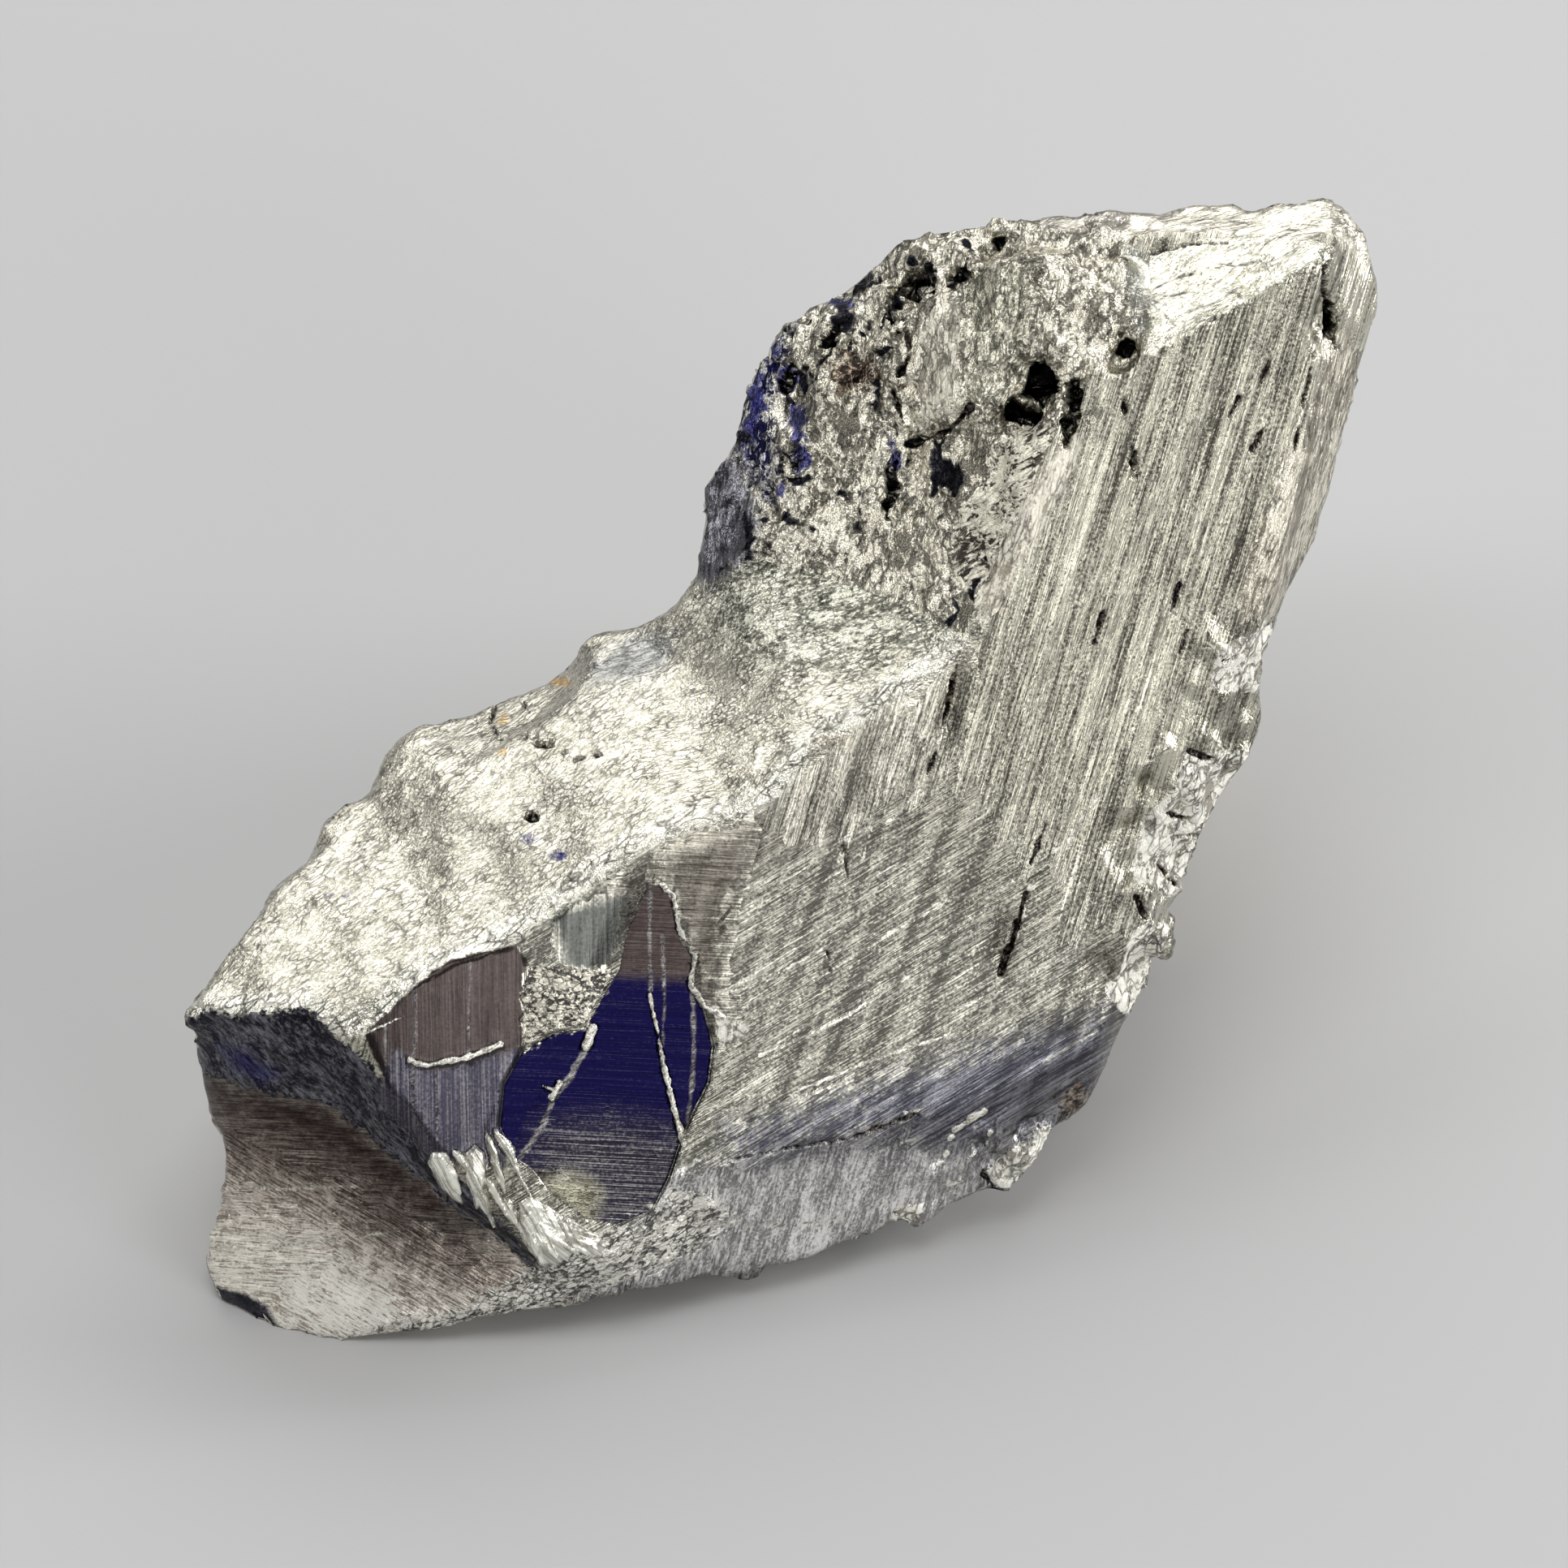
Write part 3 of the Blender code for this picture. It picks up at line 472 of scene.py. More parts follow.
THREADS = [  # (half width, points); too thin to stand out
    (0.06, [(-15.8, -8.3), (-15.7, -10.3), (-15.9, -12.7), (-15.7, -14.6)]),
    (0.04, [(-14.9, -12.2), (-14.8, -15.2)]), (0.03, [(-13.4, -7.6), (-13.5, -11.6)]),
    (0.05, [(-5.7, -4.4), (-5.75, -6.5), (-5.7, -8.8)]),
    (0.05, [(-5.2, -6.5), (-5.1, -9.4), (-5.2, -11.2)]), (0.05, [(-17.0, -10.2), (-17.0, -12.0)]),
    (0.08, [(-3.9, -8.9), (-3.85, -11.7), (-4.1, -14.5)]),
    (0.13, [(-8.4, -11.2), (-9.2, -12.6), (-9.8, -13.4)]),
    (0.11, [(-9.9, -13.6), (-10.4, -14.8), (-11.3, -16.0)]),
    (0.03, [(15.6, 20.8), (16.4, 20.5)]), (0.03, [(15.6, 20.9), (16.6, 20.9), (17.4, 21.1)]),
    (0.03, [(15.6, 20.7), (16.3, 20.1), (16.8, 19.6)]), (0.03, [(15.6, 20.6), (15.9, 19.8)]),
    (0.03, [(15.7, 21.1), (16.5, 21.6), (17.6, 21.9)]),
    (0.03, [(17.2, 20.2), (18.4, 20.6), (19.6, 21.3)]),
    (0.03, [(18.0, 22.4), (19.4, 22.2), (20.6, 22.5)]),
]
SCRATCHES = [  # the same, but brighter
    (0.04, [(-23.9, -17.3), (-21.0, -17.35), (-18.2, -17.2)]),
    (0.05, [(-24.3, -19.8), (-20.6, -19.7), (-17.0, -19.2)]),
    (0.04, [(-24.3, -20.4), (-21.3, -20.65), (-17.0, -20.1)]),
    (0.05, [(-3.0, -9.1), (-0.7, -8.4), (1.7, -7.0)]), (0.04, [(-2.6, -8.9), (0.8, -6.9)]),
    (0.04, [(2.4, -2.4), (4.7, -1.5), (6.0, 0.0)]),
    (0.05, [(10.4, -3.5), (12.1, -2.6), (13.1, -0.9), (16.6, 1.6)]),
    (0.05, [(-3.8, -18.8), (-1.0, -19.0), (2.9, -18.6)]),
    (0.04, [(11.0, -12.0), (13.4, -10.6)]), (0.04, [(3.6, -15.9), (5.6, -15.2)]),
    (0.04, [(-1.9, -4.6), (0.9, -3.2)]), (0.05, [(-1.0, -11.6), (2.4, -10.1), (5.4, -8.2)]),
    (0.04, [(0.4, -13.2), (4.4, -11.6), (7.6, -10.6)]), (0.04, [(4.2, -6.6), (7.4, -4.8)]),
    (0.04, [(6.9, -9.9), (10.2, -8.4), (12.6, -7.0)]), (0.04, [(-1.6, -14.2), (2.2, -12.9)]),
    (0.03, [(3.0, -4.4), (5.2, -3.2)]), (0.03, [(7.8, -7.4), (9.3, -6.6)]),
]
print(len(VEINS), "veins,", len(THREADS), "threads and", len(SCRATCHES), "scratches")

# %% Splinters and stains
SPLINTERS = [  # (half width, rise, start, end)
    (0.45, 0.25, (-15.0, -15.7), (-13.7, -18.1)), (0.40, 0.35, (-13.2, -15.4), (-13.1, -18.3)),
    (0.18, 0.35, (-12.7, -14.9), (-11.8, -18.0)), (0.15, 0.35, (-12.4, -14.7), (-10.9, -17.5)),
    (0.16, 0.30, (-12.7, -16.8), (-11.7, -18.7)), (0.22, 0.30, (-13.3, -16.9), (-12.3, -19.0)),
    (0.20, 0.30, (-12.0, -17.6), (-11.2, -19.3)), (0.16, 0.25, (-14.2, -15.6), (-12.6, -17.2)),
    (0.30, 0.22, (-11.4, -17.9), (-9.0, -18.7)), (0.32, 0.24, (-11.3, -18.2), (-7.6, -19.5)),
    (0.30, 0.20, (-11.3, -18.2), (-7.8, -20.0)), (0.32, 0.26, (-11.3, -18.3), (-8.8, -20.1)),
    (0.26, 0.22, (-11.3, -18.3), (-9.5, -20.5)), (0.24, 0.26, (-11.3, -18.4), (-10.2, -20.7)),
]
STAINS = [  # (across, up, half width, half height, finish)
    (-9.6, 4.4, 0.38, 0.22, "orange"), (-12.1, 2.8, 0.15, 0.18, "orange"),
    (-12.0, 1.4, 0.18, 0.15, "orange"), (2.2, 1.8, 0.45, 0.15, "brown"),
    (12.5, -13.6, 0.6, 0.6, "brown"), (2.9, 17.6, 0.9, 0.9, "brown"),
    (-11.0, -2.3, 0.45, 0.12, "blue"), (-9.8, -3.0, 0.5, 0.2, "blue"),
    (-19.0, -4.7, 0.5, 0.12, "blue"), (-0.6, 18.8, 0.4, 0.8, "blue"),
    (-1.6, 15.0, 0.35, 0.9, "blue"),
    (0.2, 17.3, 0.45, 0.7, "blue"), (0.8, 13.9, 0.4, 0.7, "blue"), (0.6, 15.6, 0.35, 0.8, "blue"),
    (-1.2, 16.6, 0.35, 0.9, "blue"), (4.8, 13.9, 0.25, 0.6, "blue"),
    (-0.1, 12.8, 0.25, 0.5, "blue"), (2.6, 20.6, 0.5, 0.3, "blue"),
]
print(len(SPLINTERS), "splinters and", len(STAINS), "stains")

# %% [markdown]
# ## Measuring from a line
#
# Two measures of a point are enough to use these lines: how far it is from a line, and
# whether it is inside a ring. Together they give a signed distance, positive inside.
# It is smooth, so it can be stored at the mesh's corners and cut sharply later, in the
# material, at any distance.

# %% Distances
def distance_to(points, line):
    """Distance to the nearest stretch: the foot of the perpendicular, kept on the stretch."""
    line = np.array(line, float)
    best = np.full(len(points), np.inf)
    for start, end in zip(line[:-1], line[1:]):
        run = end - start
        share = np.clip((points[:, :2] - start) @ run / max(run @ run, 1e-9), 0, 1)
        away = points[:, :2] - start - share[:, None] * run
        best = np.minimum(best, np.hypot(away[:, 0], away[:, 1]))
    return best


FAR = 6.0  # mm; distances matter no further from a ring than this


def within(points, ring, far=FAR):
    """Signed distance to a closed ring: positive inside, where a ray crosses it 1, 3, 5... times.

    It is worked out in the ring's box grown by far; all other points count as far outside.
    """
    closed = np.array(ring + ring[:1], float)
    low, high = closed.min(axis=0) - far, closed.max(axis=0) + far
    near = ((points[:, :2] > low) & (points[:, :2] < high)).all(axis=1)
    x, y = points[near, 0], points[near, 1]
    crossed = np.zeros(len(x), bool)
    for (x0, y0), (x1, y1) in zip(closed[:-1], closed[1:]):
        if y0 != y1:
            crossed ^= ((y0 > y) != (y1 > y)) & (x < x0 + (y - y0) * (x1 - x0) / (y1 - y0))
    depth = np.full(len(points), -far)
    depth[near] = np.where(crossed, 1, -1) * distance_to(points[near], closed)
    return depth


sample = np.array([[-8.0, -14.0, 0.0], [5.0, 0.0, 0.0]])
print("depth inside the hollow's ring:", within(sample, RINGS["hollow"]).round(2))

# %% [markdown]
# ## A fine skin
#
# The packed solid has about ten thousand triangles, which is too coarse for a break
# that is rough at half a millimetre. A copy of it is merged, because a packed mesh is
# loose triangles, and remeshed into small even cells. Subdividing would keep the long
# thin triangles; a voxel remesh gives the same spacing everywhere, which relief needs.
# A few rounds of smoothing then take away the solid's facets. Each round moves every
# corner towards the mean of its neighbours and the next moves it back a little further,
# so that the stone doesn't shrink.

# %% Copy and remesh
CELL = 0.24 * MM
SMOOTHING_ROUNDS = 5


def object_of(name, data):
    """A new object at the origin with a mesh, a lamp or a camera."""
    made = bpy.data.objects.new(name, data)
    bpy.context.scene.collection.objects.link(made)
    return made


def with_modifier(source, name, kind, **settings):
    """A new object with the mesh that a modifier gives; the source is removed."""
    modifier = source.modifiers.new(kind.title(), kind)
    for key, value in settings.items():
        setattr(modifier, key, value)
    graph = bpy.context.evaluated_depsgraph_get()
    mesh = bpy.data.meshes.new_from_object(source.evaluated_get(graph))
    bpy.data.objects.remove(source)
    mesh.name = name
    return object_of(name, mesh)


def merged_copy(node):
    """A copy of a packed node's mesh with its loose triangles joined."""
    work = bmesh.new()
    work.from_mesh(node.data)
    bmesh.ops.remove_doubles(work, verts=work.verts[:], dist=0.001 * MM)
    mesh = bpy.data.meshes.new("merged")
    work.to_mesh(mesh)
    work.free()
    return object_of("merged", mesh)


skin = with_modifier(merged_copy(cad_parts["pyrite"]), "skin", "REMESH",
                     mode="VOXEL", voxel_size=CELL)
print("remeshed to", len(skin.data.vertices), "corners")


# %% Smooth out the facets
def field(items, name, width=1, kind=np.int32):
    """One field of all items of a mesh as an array: one row of so many numbers for each."""
    values = np.empty(len(items) * width, kind)
    items.foreach_get(name, values)
    return values.reshape(-1, width) if width > 1 else values


def corners(mesh):
    """The place of each corner."""
    return field(mesh.vertices, "co", 3, np.float32).astype(float)


def normals(mesh):
    """The outward direction at each corner."""
    return field(mesh.vertex_normals, "vector", 3, np.float32).astype(float)


def put_corners(mesh, points):
    """Moves all corners of a mesh."""
    mesh.vertices.foreach_set("co", points.astype(np.float32).ravel())
    mesh.update()


def smoothed(mesh, rounds, forward=0.55, back=-0.57):
    """Corners after rounds of moving towards, then away from, the neighbours' mean."""
    first, last = field(mesh.edges, "vertices", 2).T
    count = len(mesh.vertices)
    degree = np.bincount(first, minlength=count) + np.bincount(last, minlength=count)
    points = corners(mesh)
    for step in [forward, back] * rounds:
        total = np.stack([np.bincount(first, points[last, axis], count)
                          + np.bincount(last, points[first, axis], count)
                          for axis in range(3)], axis=1)
        points = points + step * (total / degree[:, None] - points)
    return points


BASE_CLEAR = 0.3  # nothing moves this close above the resting face, in mm
BASE_FADE = 0.8


def free_to_move(points):
    """0 near the resting face, easing to 1 above it."""
    above_base = (points[:, 2] - cad_box[0][2]) / MM
    return eased((above_base - BASE_CLEAR) / BASE_FADE)


raw = corners(skin.data)
free = free_to_move(raw)[:, None]
put_corners(skin.data, raw + free * (smoothed(skin.data, SMOOTHING_ROUNDS) - raw))
moved = np.linalg.norm(corners(skin.data) - raw, axis=1)
print(f"smoothing moved corners by {moved.mean() / MM:.3f} mm on average")

# %% [markdown]
# ## Relief of the break
#
# Each surface broke in its own way, so each gets its own relief, in millimetres along
# the outward direction: crumpled foil with a lie to it on the shelf, coarse crystal
# planes with crevices on the raised corner, long fine ribs on the broad face, a slanting
# grain on the left end, and fibres along the lip. The back tore like the raised corner,
# only more gently.

# %% Directions of the grain
def on_slope(angle, slope_across=0.0, slope_up=0.0):
    """The direction at an angle on a plane that rises `out` by the two slopes."""
    across, up = math.cos(math.radians(angle)), math.sin(math.radians(angle))
    return across, up, slope_across * across + slope_up * up


SHELF_LIE = on_slope(27, -0.3, -1.2)
SHELF_RIGHT_LIE = on_slope(6, -0.3, -1.2)
RIB_LIE = on_slope(73, -0.32, 0.13)
SWEEP_LIE = on_slope(31, -0.32, 0.13)
LEVEL_LIE = on_slope(-3, -0.32, 0.13)
UPRIGHT_LIE = on_slope(91, -0.1, 0.1)
END_LIE = on_slope(-31, 0.28, 0.69)
LIP_LIE = on_slope(-42, 0.0, 1.0)
TOWER_LIE = on_slope(80, 0.0, -0.6)
HACKLE_LIE = on_slope(28, 0.0, -0.6)
TOP_LIE = on_slope(30, -0.3, -1.2)

print("the ribs lie along", np.round(RIB_LIE, 2))


# %% Relief of each surface
def shelf_relief(at):
    """Crumpled foil that lies up to the right, flatter further right, with low swells."""
    right = eased((at[:, 0] + 12) / 12)
    left_foil = crumpled(stretched(at, SHELF_LIE, 1.5, 0.62), 101)
    right_foil = crumpled(stretched(at, SHELF_RIGHT_LIE, 1.3, 0.62), 111)
    swell = layered(stretched(at, SHELF_LIE, 7.0, 3.0), 121)
    return 0.05 * (left_foil + right * (right_foil - left_foil)) + 0.06 * swell


CREVICE_DEPTH = 0.35


def crevices(at):
    """1 along thin winding clefts, where a stretched noise passes through 0; else 0."""
    bent = at + 0.5 * np.stack([noise(at / 0.9, 231 + k) for k in range(3)], axis=1)
    winding = np.abs(noise(stretched(bent, TOWER_LIE, 2.4, 1.0), 241))
    crowded = eased(0.25 + 1.4 * noise(at / 3.2, 251))
    return eased(1 - winding / (0.06 + 0.10 * crowded)) * crowded


def tower_crevices(at):
    """The clefts of the tower, which stop short of its right side."""
    return crevices(at) * eased((11 - at[:, 0]) / 3)


def tower_relief(at):
    """Crystal planes in two sizes, taller than they are wide, parted by crevices."""
    tall = stretched(at, TOWER_LIE, 2.2, 1.25)
    planes = 0.24 * broken(tall, 201, 0.12) + 0.11 * broken(tall * 2.4, 211, 0.12)
    return planes + 0.05 * crumpled(tall * 2.2, 221) - CREVICE_DEPTH * tower_crevices(at)


def hackle_relief(at):
    """Small overlapping ridges, one above the other, that rise to the right."""
    return 0.17 * crumpled(stretched(at, HACKLE_LIE, 1.5, 0.55), 261, 2)


def broad_relief(at):
    """Long ribs, and lower down a sweep of finer ones that rises to the right."""
    ribs = layered(stretched(at, RIB_LIE, 12.0, 0.7), 301)
    fine = layered(stretched(at, RIB_LIE, 5.0, 0.34), 311, 2)
    sweep = layered(stretched(at, SWEEP_LIE, 4.0, 0.5), 321)
    low = eased((6.0 - at[:, 1] - 0.4 * at[:, 0]) / 9.0)
    return (1 - 0.6 * low) * (0.050 * ribs + 0.030 * fine) + low * 0.022 * sweep


def end_relief(at):
    """Short slanting grains that grow stronger towards the foot."""
    grain = crumpled(stretched(at, END_LIE, 1.4, 0.5), 401)
    return 0.032 * grain * (0.4 + 0.6 * eased((-13.5 - at[:, 1]) / 4)) + 0.05 * noise(at / 3, 411)


def lip_relief(at):
    """Rough fibres that run down the lip."""
    return 0.08 * layered(stretched(at, LIP_LIE, 2.6, 0.6), 501)


def back_relief(at):
    """Crystal planes in three sizes, with clefts."""
    planes = 0.60 * broken(at / 4.5, 601, 0.08) + 0.20 * broken(at / 1.8, 611, 0.12)
    return planes + 0.05 * crumpled(at / 0.8, 621) - CREVICE_DEPTH * crevices(at)


print("relief of the shelf at two points:", shelf_relief(sample).round(3), "mm")

# %% [markdown]
# ## Putting the reliefs together
#
# Each relief counts inside its own ring and fades out over half a millimetre, so that
# neighbours run into each other. The mirror floor and the smooth panel get almost none.
# The panel is one crystal face, so last of all its corners are laid on a smooth sheet
# that fits them best. The step at the ring of the hollow, the pits, slots and veins are
# cut later, once the mesh is finer there.

# %% Apply the relief
FADE = 0.5
SIDEWAYS = 0.05  # a corner that faces out less than this is on a side or the back
SEEN_FROM, SEEN_FADE, AWAY_FADE = 0.02, 0.15, 0.6
LEAST_SEEN = 0.5  # a corner that is seen less than this counts as hidden


def facing_of(mesh):
    """How far each corner faces out from the broad face: 1 fully, 0 sideways, -1 away."""
    return (normals(mesh) @ np.array(FACE_TURN))[:, 2]


def seen_of(mesh):
    """1 where a corner faces out, easing to 0 where it turns sideways."""
    return eased((facing_of(mesh) - SEEN_FROM) / SEEN_FADE)


def share_of(distance, fade=FADE):
    """How much a point belongs to a ring: half on the ring, all a fade's width inside."""
    return eased(0.5 + distance / (2 * fade))


SMOOTH = ("hollow", "panel", "film", "slate", "buff", "grey facet", "rim")
ROUGH = ("shelf", "tower", "top facet", "end", "lip")  # these aren't part of the broad face
SMOOTH_LOSS = 0.85  # of their relief
CALM = {"valley": 0.8, "hackles": 0.9, "slab": 0.6, "slate flank": 0.6, "top edge": 0.75}


def coarse_relief(at, seen, turned_away):
    """The reliefs of all surfaces, each times its share."""
    share = {name: seen * share_of(within(at, ring, FADE))
             for name, ring in (RINGS | CHIPS).items()}
    smooth = highest(share[name] for name in SMOOTH)
    other = highest(share[name] for name in ROUGH)
    calm_tower = 1 - highest(calm * share[name] for name, calm in CALM.items())
    height = share["shelf"] * (1 - 0.5 * share["lobe"]) * shelf_relief(at)
    height += share["tower"] * (1 - share["top facet"]) * calm_tower * tower_relief(at)
    height += share["hackles"] * hackle_relief(at)
    height += share["end"] * end_relief(at) + share["lip"] * lip_relief(at)
    height += seen * (1 - other) * broad_relief(at)
    height *= 1 - SMOOTH_LOSS * smooth
    height += share["top facet"] * 0.035 * crumpled(stretched(at, TOP_LIE, 2.0, 0.5), 701)
    chips = highest(share[name] for name in CHIPS)
    height += chips * (0.14 * broken(at / 0.9, 711, 0.08) + 0.1)
    height += np.maximum(share["sugar"], share["foot sugar"]) * 0.08 * broken(at / 0.5, 721)
    behind_top = share_of(within(at, RINGS["top edge"], FADE))
    return height + turned_away * (1 - 0.7 * behind_top) * back_relief(at)


def evened(at, seen, ring):
    """How far out each corner moves to reach the sheet of second degree that fits best."""
    depth = within(at, ring, FADE)
    x, y = (at[:, :2] - np.mean(ring, axis=0)).T
    terms = np.column_stack([np.ones(len(x)), x, y, x * x, x * y, y * y])
    inside = (seen > LEAST_SEEN) & (depth > 0.2)
    sheet = terms @ np.linalg.lstsq(terms[inside], at[inside, 2], rcond=None)[0]
    return seen * share_of(depth - 0.1, 0.3) * (sheet - at[:, 2])


room = corners(skin.data)
at = to_face(room)
facing, seen = facing_of(skin.data), seen_of(skin.data)
turned_away = (1 - seen) * eased((SIDEWAYS - facing) / AWAY_FADE)
height = free_to_move(room) * coarse_relief(at, seen, turned_away)
put_corners(skin.data, room + MM * height[:, None] * normals(skin.data))
at = to_face(corners(skin.data))
at[:, 2] += evened(at, seen, RINGS["panel"])
put_corners(skin.data, to_room(at))
print(f"relief from {height.min():.2f} to {height.max():.2f} mm")

# %% [markdown]
# ## Thin it where it is flat
#
# The even cells waste triangles on the flat base and on the mirror. Collapsing the
# edges that matter least keeps the rough parts fine. It leaves room for about as many
# finer triangles along the lines, with fewer than two hundred thousand in all.

# %% Thin the mesh
KEPT_TRIANGLES = 102_000
skin = with_modifier(skin, "skin", "DECIMATE", use_collapse_triangulate=True,
                     ratio=KEPT_TRIANGLES / (2 * len(skin.data.vertices)))
print("thinned to", len(skin.data.polygons), "triangles")

# %% [markdown]
# ## Finer along the lines
#
# A vein is a tenth of a millimetre wide, which the cells can't hold, and the flat mirror
# kept few triangles at all. Subdividing everything would cost millions of triangles. So
# long edges near a line are halved in four rounds, each closer to the line and down to a
# shorter edge, and nowhere else. Each triangle is cut by a rule that depends only on
# which of its sides are halved, so its neighbours always fit it and no gap opens.

# %% Split edges near the lines
SPLIT_ROUNDS = ((0.40, 0.50), (0.25, 0.27), (0.12, 0.15), (0.04, 0.11))  # reach, longest edge, mm
THREAD_SPARED = 0.05  # how much closer the reach is to lines that have no height
SCRATCH_SPARED = 0.10


def line_distance(at):
    """Distance to the nearest slot, vein, splinter, pit rim or the hollow's ring."""
    near = distance_to(at, RINGS["hollow"] + RINGS["hollow"][:1])
    for lines, spared in ((THREADS, THREAD_SPARED), (SCRATCHES, SCRATCH_SPARED)):
        for _, line in lines:
            near = np.minimum(near, distance_to(at, line) + spared)
    for half_width, _, start, end in SPLINTERS:
        near = np.minimum(near, np.maximum(0, distance_to(at, [start, end]) - half_width))
    for half_width, _, line in SLOTS + VEINS:
        near = np.minimum(near, distance_to(at, line))
    for *oval, _ in PITS:
        near = np.minimum(near, np.maximum(0, oval_reach(at, *oval) - 1.2) * min(oval[2:]))
    return near


def oval_reach(at, across, up, half_width, half_height):
    """Distance from an oval's middle in its own radii: 1 on its rim."""
    return np.hypot((at[:, 0] - across) / half_width, (at[:, 1] - up) / half_height)


def halved(triangles, middles):
    """The parts of each triangle, given the new corner in the middle of each side, or -1.

    One cut side gives two parts, two give three and three give four. A triangle is first
    turned so that its cut sides come first.
    """
    cut = middles >= 0
    count = cut.sum(axis=1)
    first = np.where(count == 2, np.argmin(cut, axis=1) + 1, np.argmax(cut, axis=1))
    turn = (first[:, None] + np.arange(3)) % 3
    a, b, c = np.take_along_axis(triangles, turn, axis=1).T
    ab, bc, ca = np.take_along_axis(middles, turn, axis=1).T
    parts = ((0, a, b, c), (1, a, ab, c), (1, ab, b, c), (2, ab, b, bc), (2, a, ab, bc),
             (2, a, bc, c), (3, a, ab, ca), (3, ab, b, bc), (3, ca, bc, c), (3, ab, bc, ca))
    return np.concatenate([np.stack(ends, axis=1)[count == cuts] for cuts, *ends in parts])


def split_near_lines(made, reach, longest):
    """Halves long edges that can come within reach: half of both distances less the length."""
    mesh = made.data
    points = corners(mesh)
    at = to_face(points)
    near = np.where(facing_of(mesh) > SIDEWAYS, line_distance(at), np.inf)
    edges, triangles = field(mesh.edges, "vertices", 2), field(mesh.polygons, "vertices", 3)
    length = np.linalg.norm(at[edges[:, 0]] - at[edges[:, 1]], axis=1)
    chosen = (length > longest) & (near[edges].sum(axis=1) - length < 2 * reach)
    middle = np.full(len(edges), -1)
    middle[chosen] = len(points) + np.arange(chosen.sum())
    points = np.concatenate([points, points[edges[chosen]].mean(axis=1)])
    triangles = halved(triangles, middle[field(mesh.loops, "edge_index")].reshape(-1, 3))
    mesh.clear_geometry()
    mesh.from_pydata(points, [], triangles)


for reach, longest in SPLIT_ROUNDS:
    split_near_lines(skin, reach, longest)
    print("split to", len(skin.data.polygons), "triangles")


# %% [markdown]
# ## The mirror floor
#
# A crystal face fell away and left the hollow with a flat, bright floor. The solid's
# pocket is wide and soft at its sides. So the floor is laid anew: a flat sheet that lies
# a little below the plane through its rim, with a steep wall around it.

# %% Lay the floor of the hollow
HOLLOW_STEP = 0.20  # mm that the mirror floor lies below its rim
WALL_WIDTH = 0.16
RIM = (-0.6, -0.2)  # how deep inside the ring the plane is fitted; below 0 is outside


def floor_shift(at, seen):
    """How far out each corner moves to lie a step below the plane that fits the rim best."""
    depth = within(at, RINGS["hollow"])
    rim = (seen > LEAST_SEEN) & (depth > RIM[0]) & (depth < RIM[1])
    flat = np.column_stack([at[:, :2], np.ones(len(at))])
    plane = np.linalg.lstsq(flat[rim], at[rim, 2], rcond=None)[0]
    return seen * eased(0.5 + depth / WALL_WIDTH) * (flat @ plane - HOLLOW_STEP - at[:, 2])


at = to_face(corners(skin.data))
shift = floor_shift(at, seen_of(skin.data))
at[:, 2] += shift
put_corners(skin.data, to_room(at))
print(f"the floor of the hollow moved by {shift.min():.2f} to {shift.max():.2f} mm")


# %% [markdown]
# ## Pits and slots down, veins and splinters up
#
# A Boolean cut would need a tool solid for each of them, and it leaves long thin
# triangles. The mesh is fine enough along the lines to be moved instead: down in a pit or
# a slot, up on a vein or a splinter. A little noise in the distances makes the rims ragged.

# %% Cut the pits, slots and veins
def ragged_rims(at):
    """What makes rims ragged: a factor for the reach of ovals, and mm for slots and for veins."""
    return (1 + 0.6 * layered(at / 0.45, 801), 0.09 * layered(at / 0.4, 811, 2),
            0.05 * layered(at / 0.3, 821, 2))


def splinter_depth(at, half_width, start, end):
    """How deep inside a blade that widens fast and narrows slowly; below 0 outside."""
    run = np.subtract(end, start)
    along = ((at[:, :2] - start) @ run) / (run @ run)
    aside = np.abs((at[:, :2] - start) @ np.array([-run[1], run[0]])) / np.hypot(*run)
    wide = half_width * np.clip(np.minimum(along / 0.12, (1 - along) / 0.5), -1, 1)
    return wide - aside - 0.05 * noise(at / 0.3, 831)


BLADE_SLOPE = 2.2
OVAL_FOOT = 1.5  # a pit ends at this many of its radii
LINE_FOOT = 1.4  # a slot or vein ends at this many of its half widths


def fine_relief(at, oval_rim, slot_rim, vein_rim):
    """Pits as bells, slots as notches, veins as ridges and blades as roofs."""
    height = np.zeros(len(at))
    for *oval, depth in PITS:
        height -= depth * eased(OVAL_FOOT - oval_reach(at, *oval) * oval_rim)
    for half_width, depth, line in SLOTS:
        height -= depth * eased(LINE_FOOT - (distance_to(at, line) + slot_rim) / half_width)
    for half_width, rise, line in VEINS:
        height += rise * eased(LINE_FOOT - (distance_to(at, line) + vein_rim) / half_width)
    return height + highest(
        rise * np.clip(splinter_depth(at, half_width, start, end) / half_width * BLADE_SLOPE, 0, 1)
        for half_width, rise, start, end in SPLINTERS)


room, outward = corners(skin.data), normals(skin.data)
at = to_face(room)
seen = seen_of(skin.data)
oval_rim, slot_rim, vein_rim = ragged_rims(at)
height = seen * fine_relief(at, oval_rim, slot_rim, vein_rim)
put_corners(skin.data, room + MM * height[:, None] * outward)
print(f"cuts and veins from {height.min():.2f} to {height.max():.2f} mm")

# %% [markdown]
# ## Measures for the finish
#
# The finish follows the same rings. Their signed distances are stored at the corners as
# attributes, in millimetres, and so are the distances to the lines. The material cuts
# them with ragged edges of its own, much sharper than the mesh. It has to look each
# attribute up for every ray, so three measures share one as if they were a vector.

# %% Store the measures
def store(mesh, name, vectors, domain="POINT"):
    """A vector at each corner, triangle or triangle's corner, for the material."""
    layer = mesh.attributes.new(name, "FLOAT_VECTOR", domain)
    layer.data.foreach_set("vector", vectors.astype(np.float32).ravel())


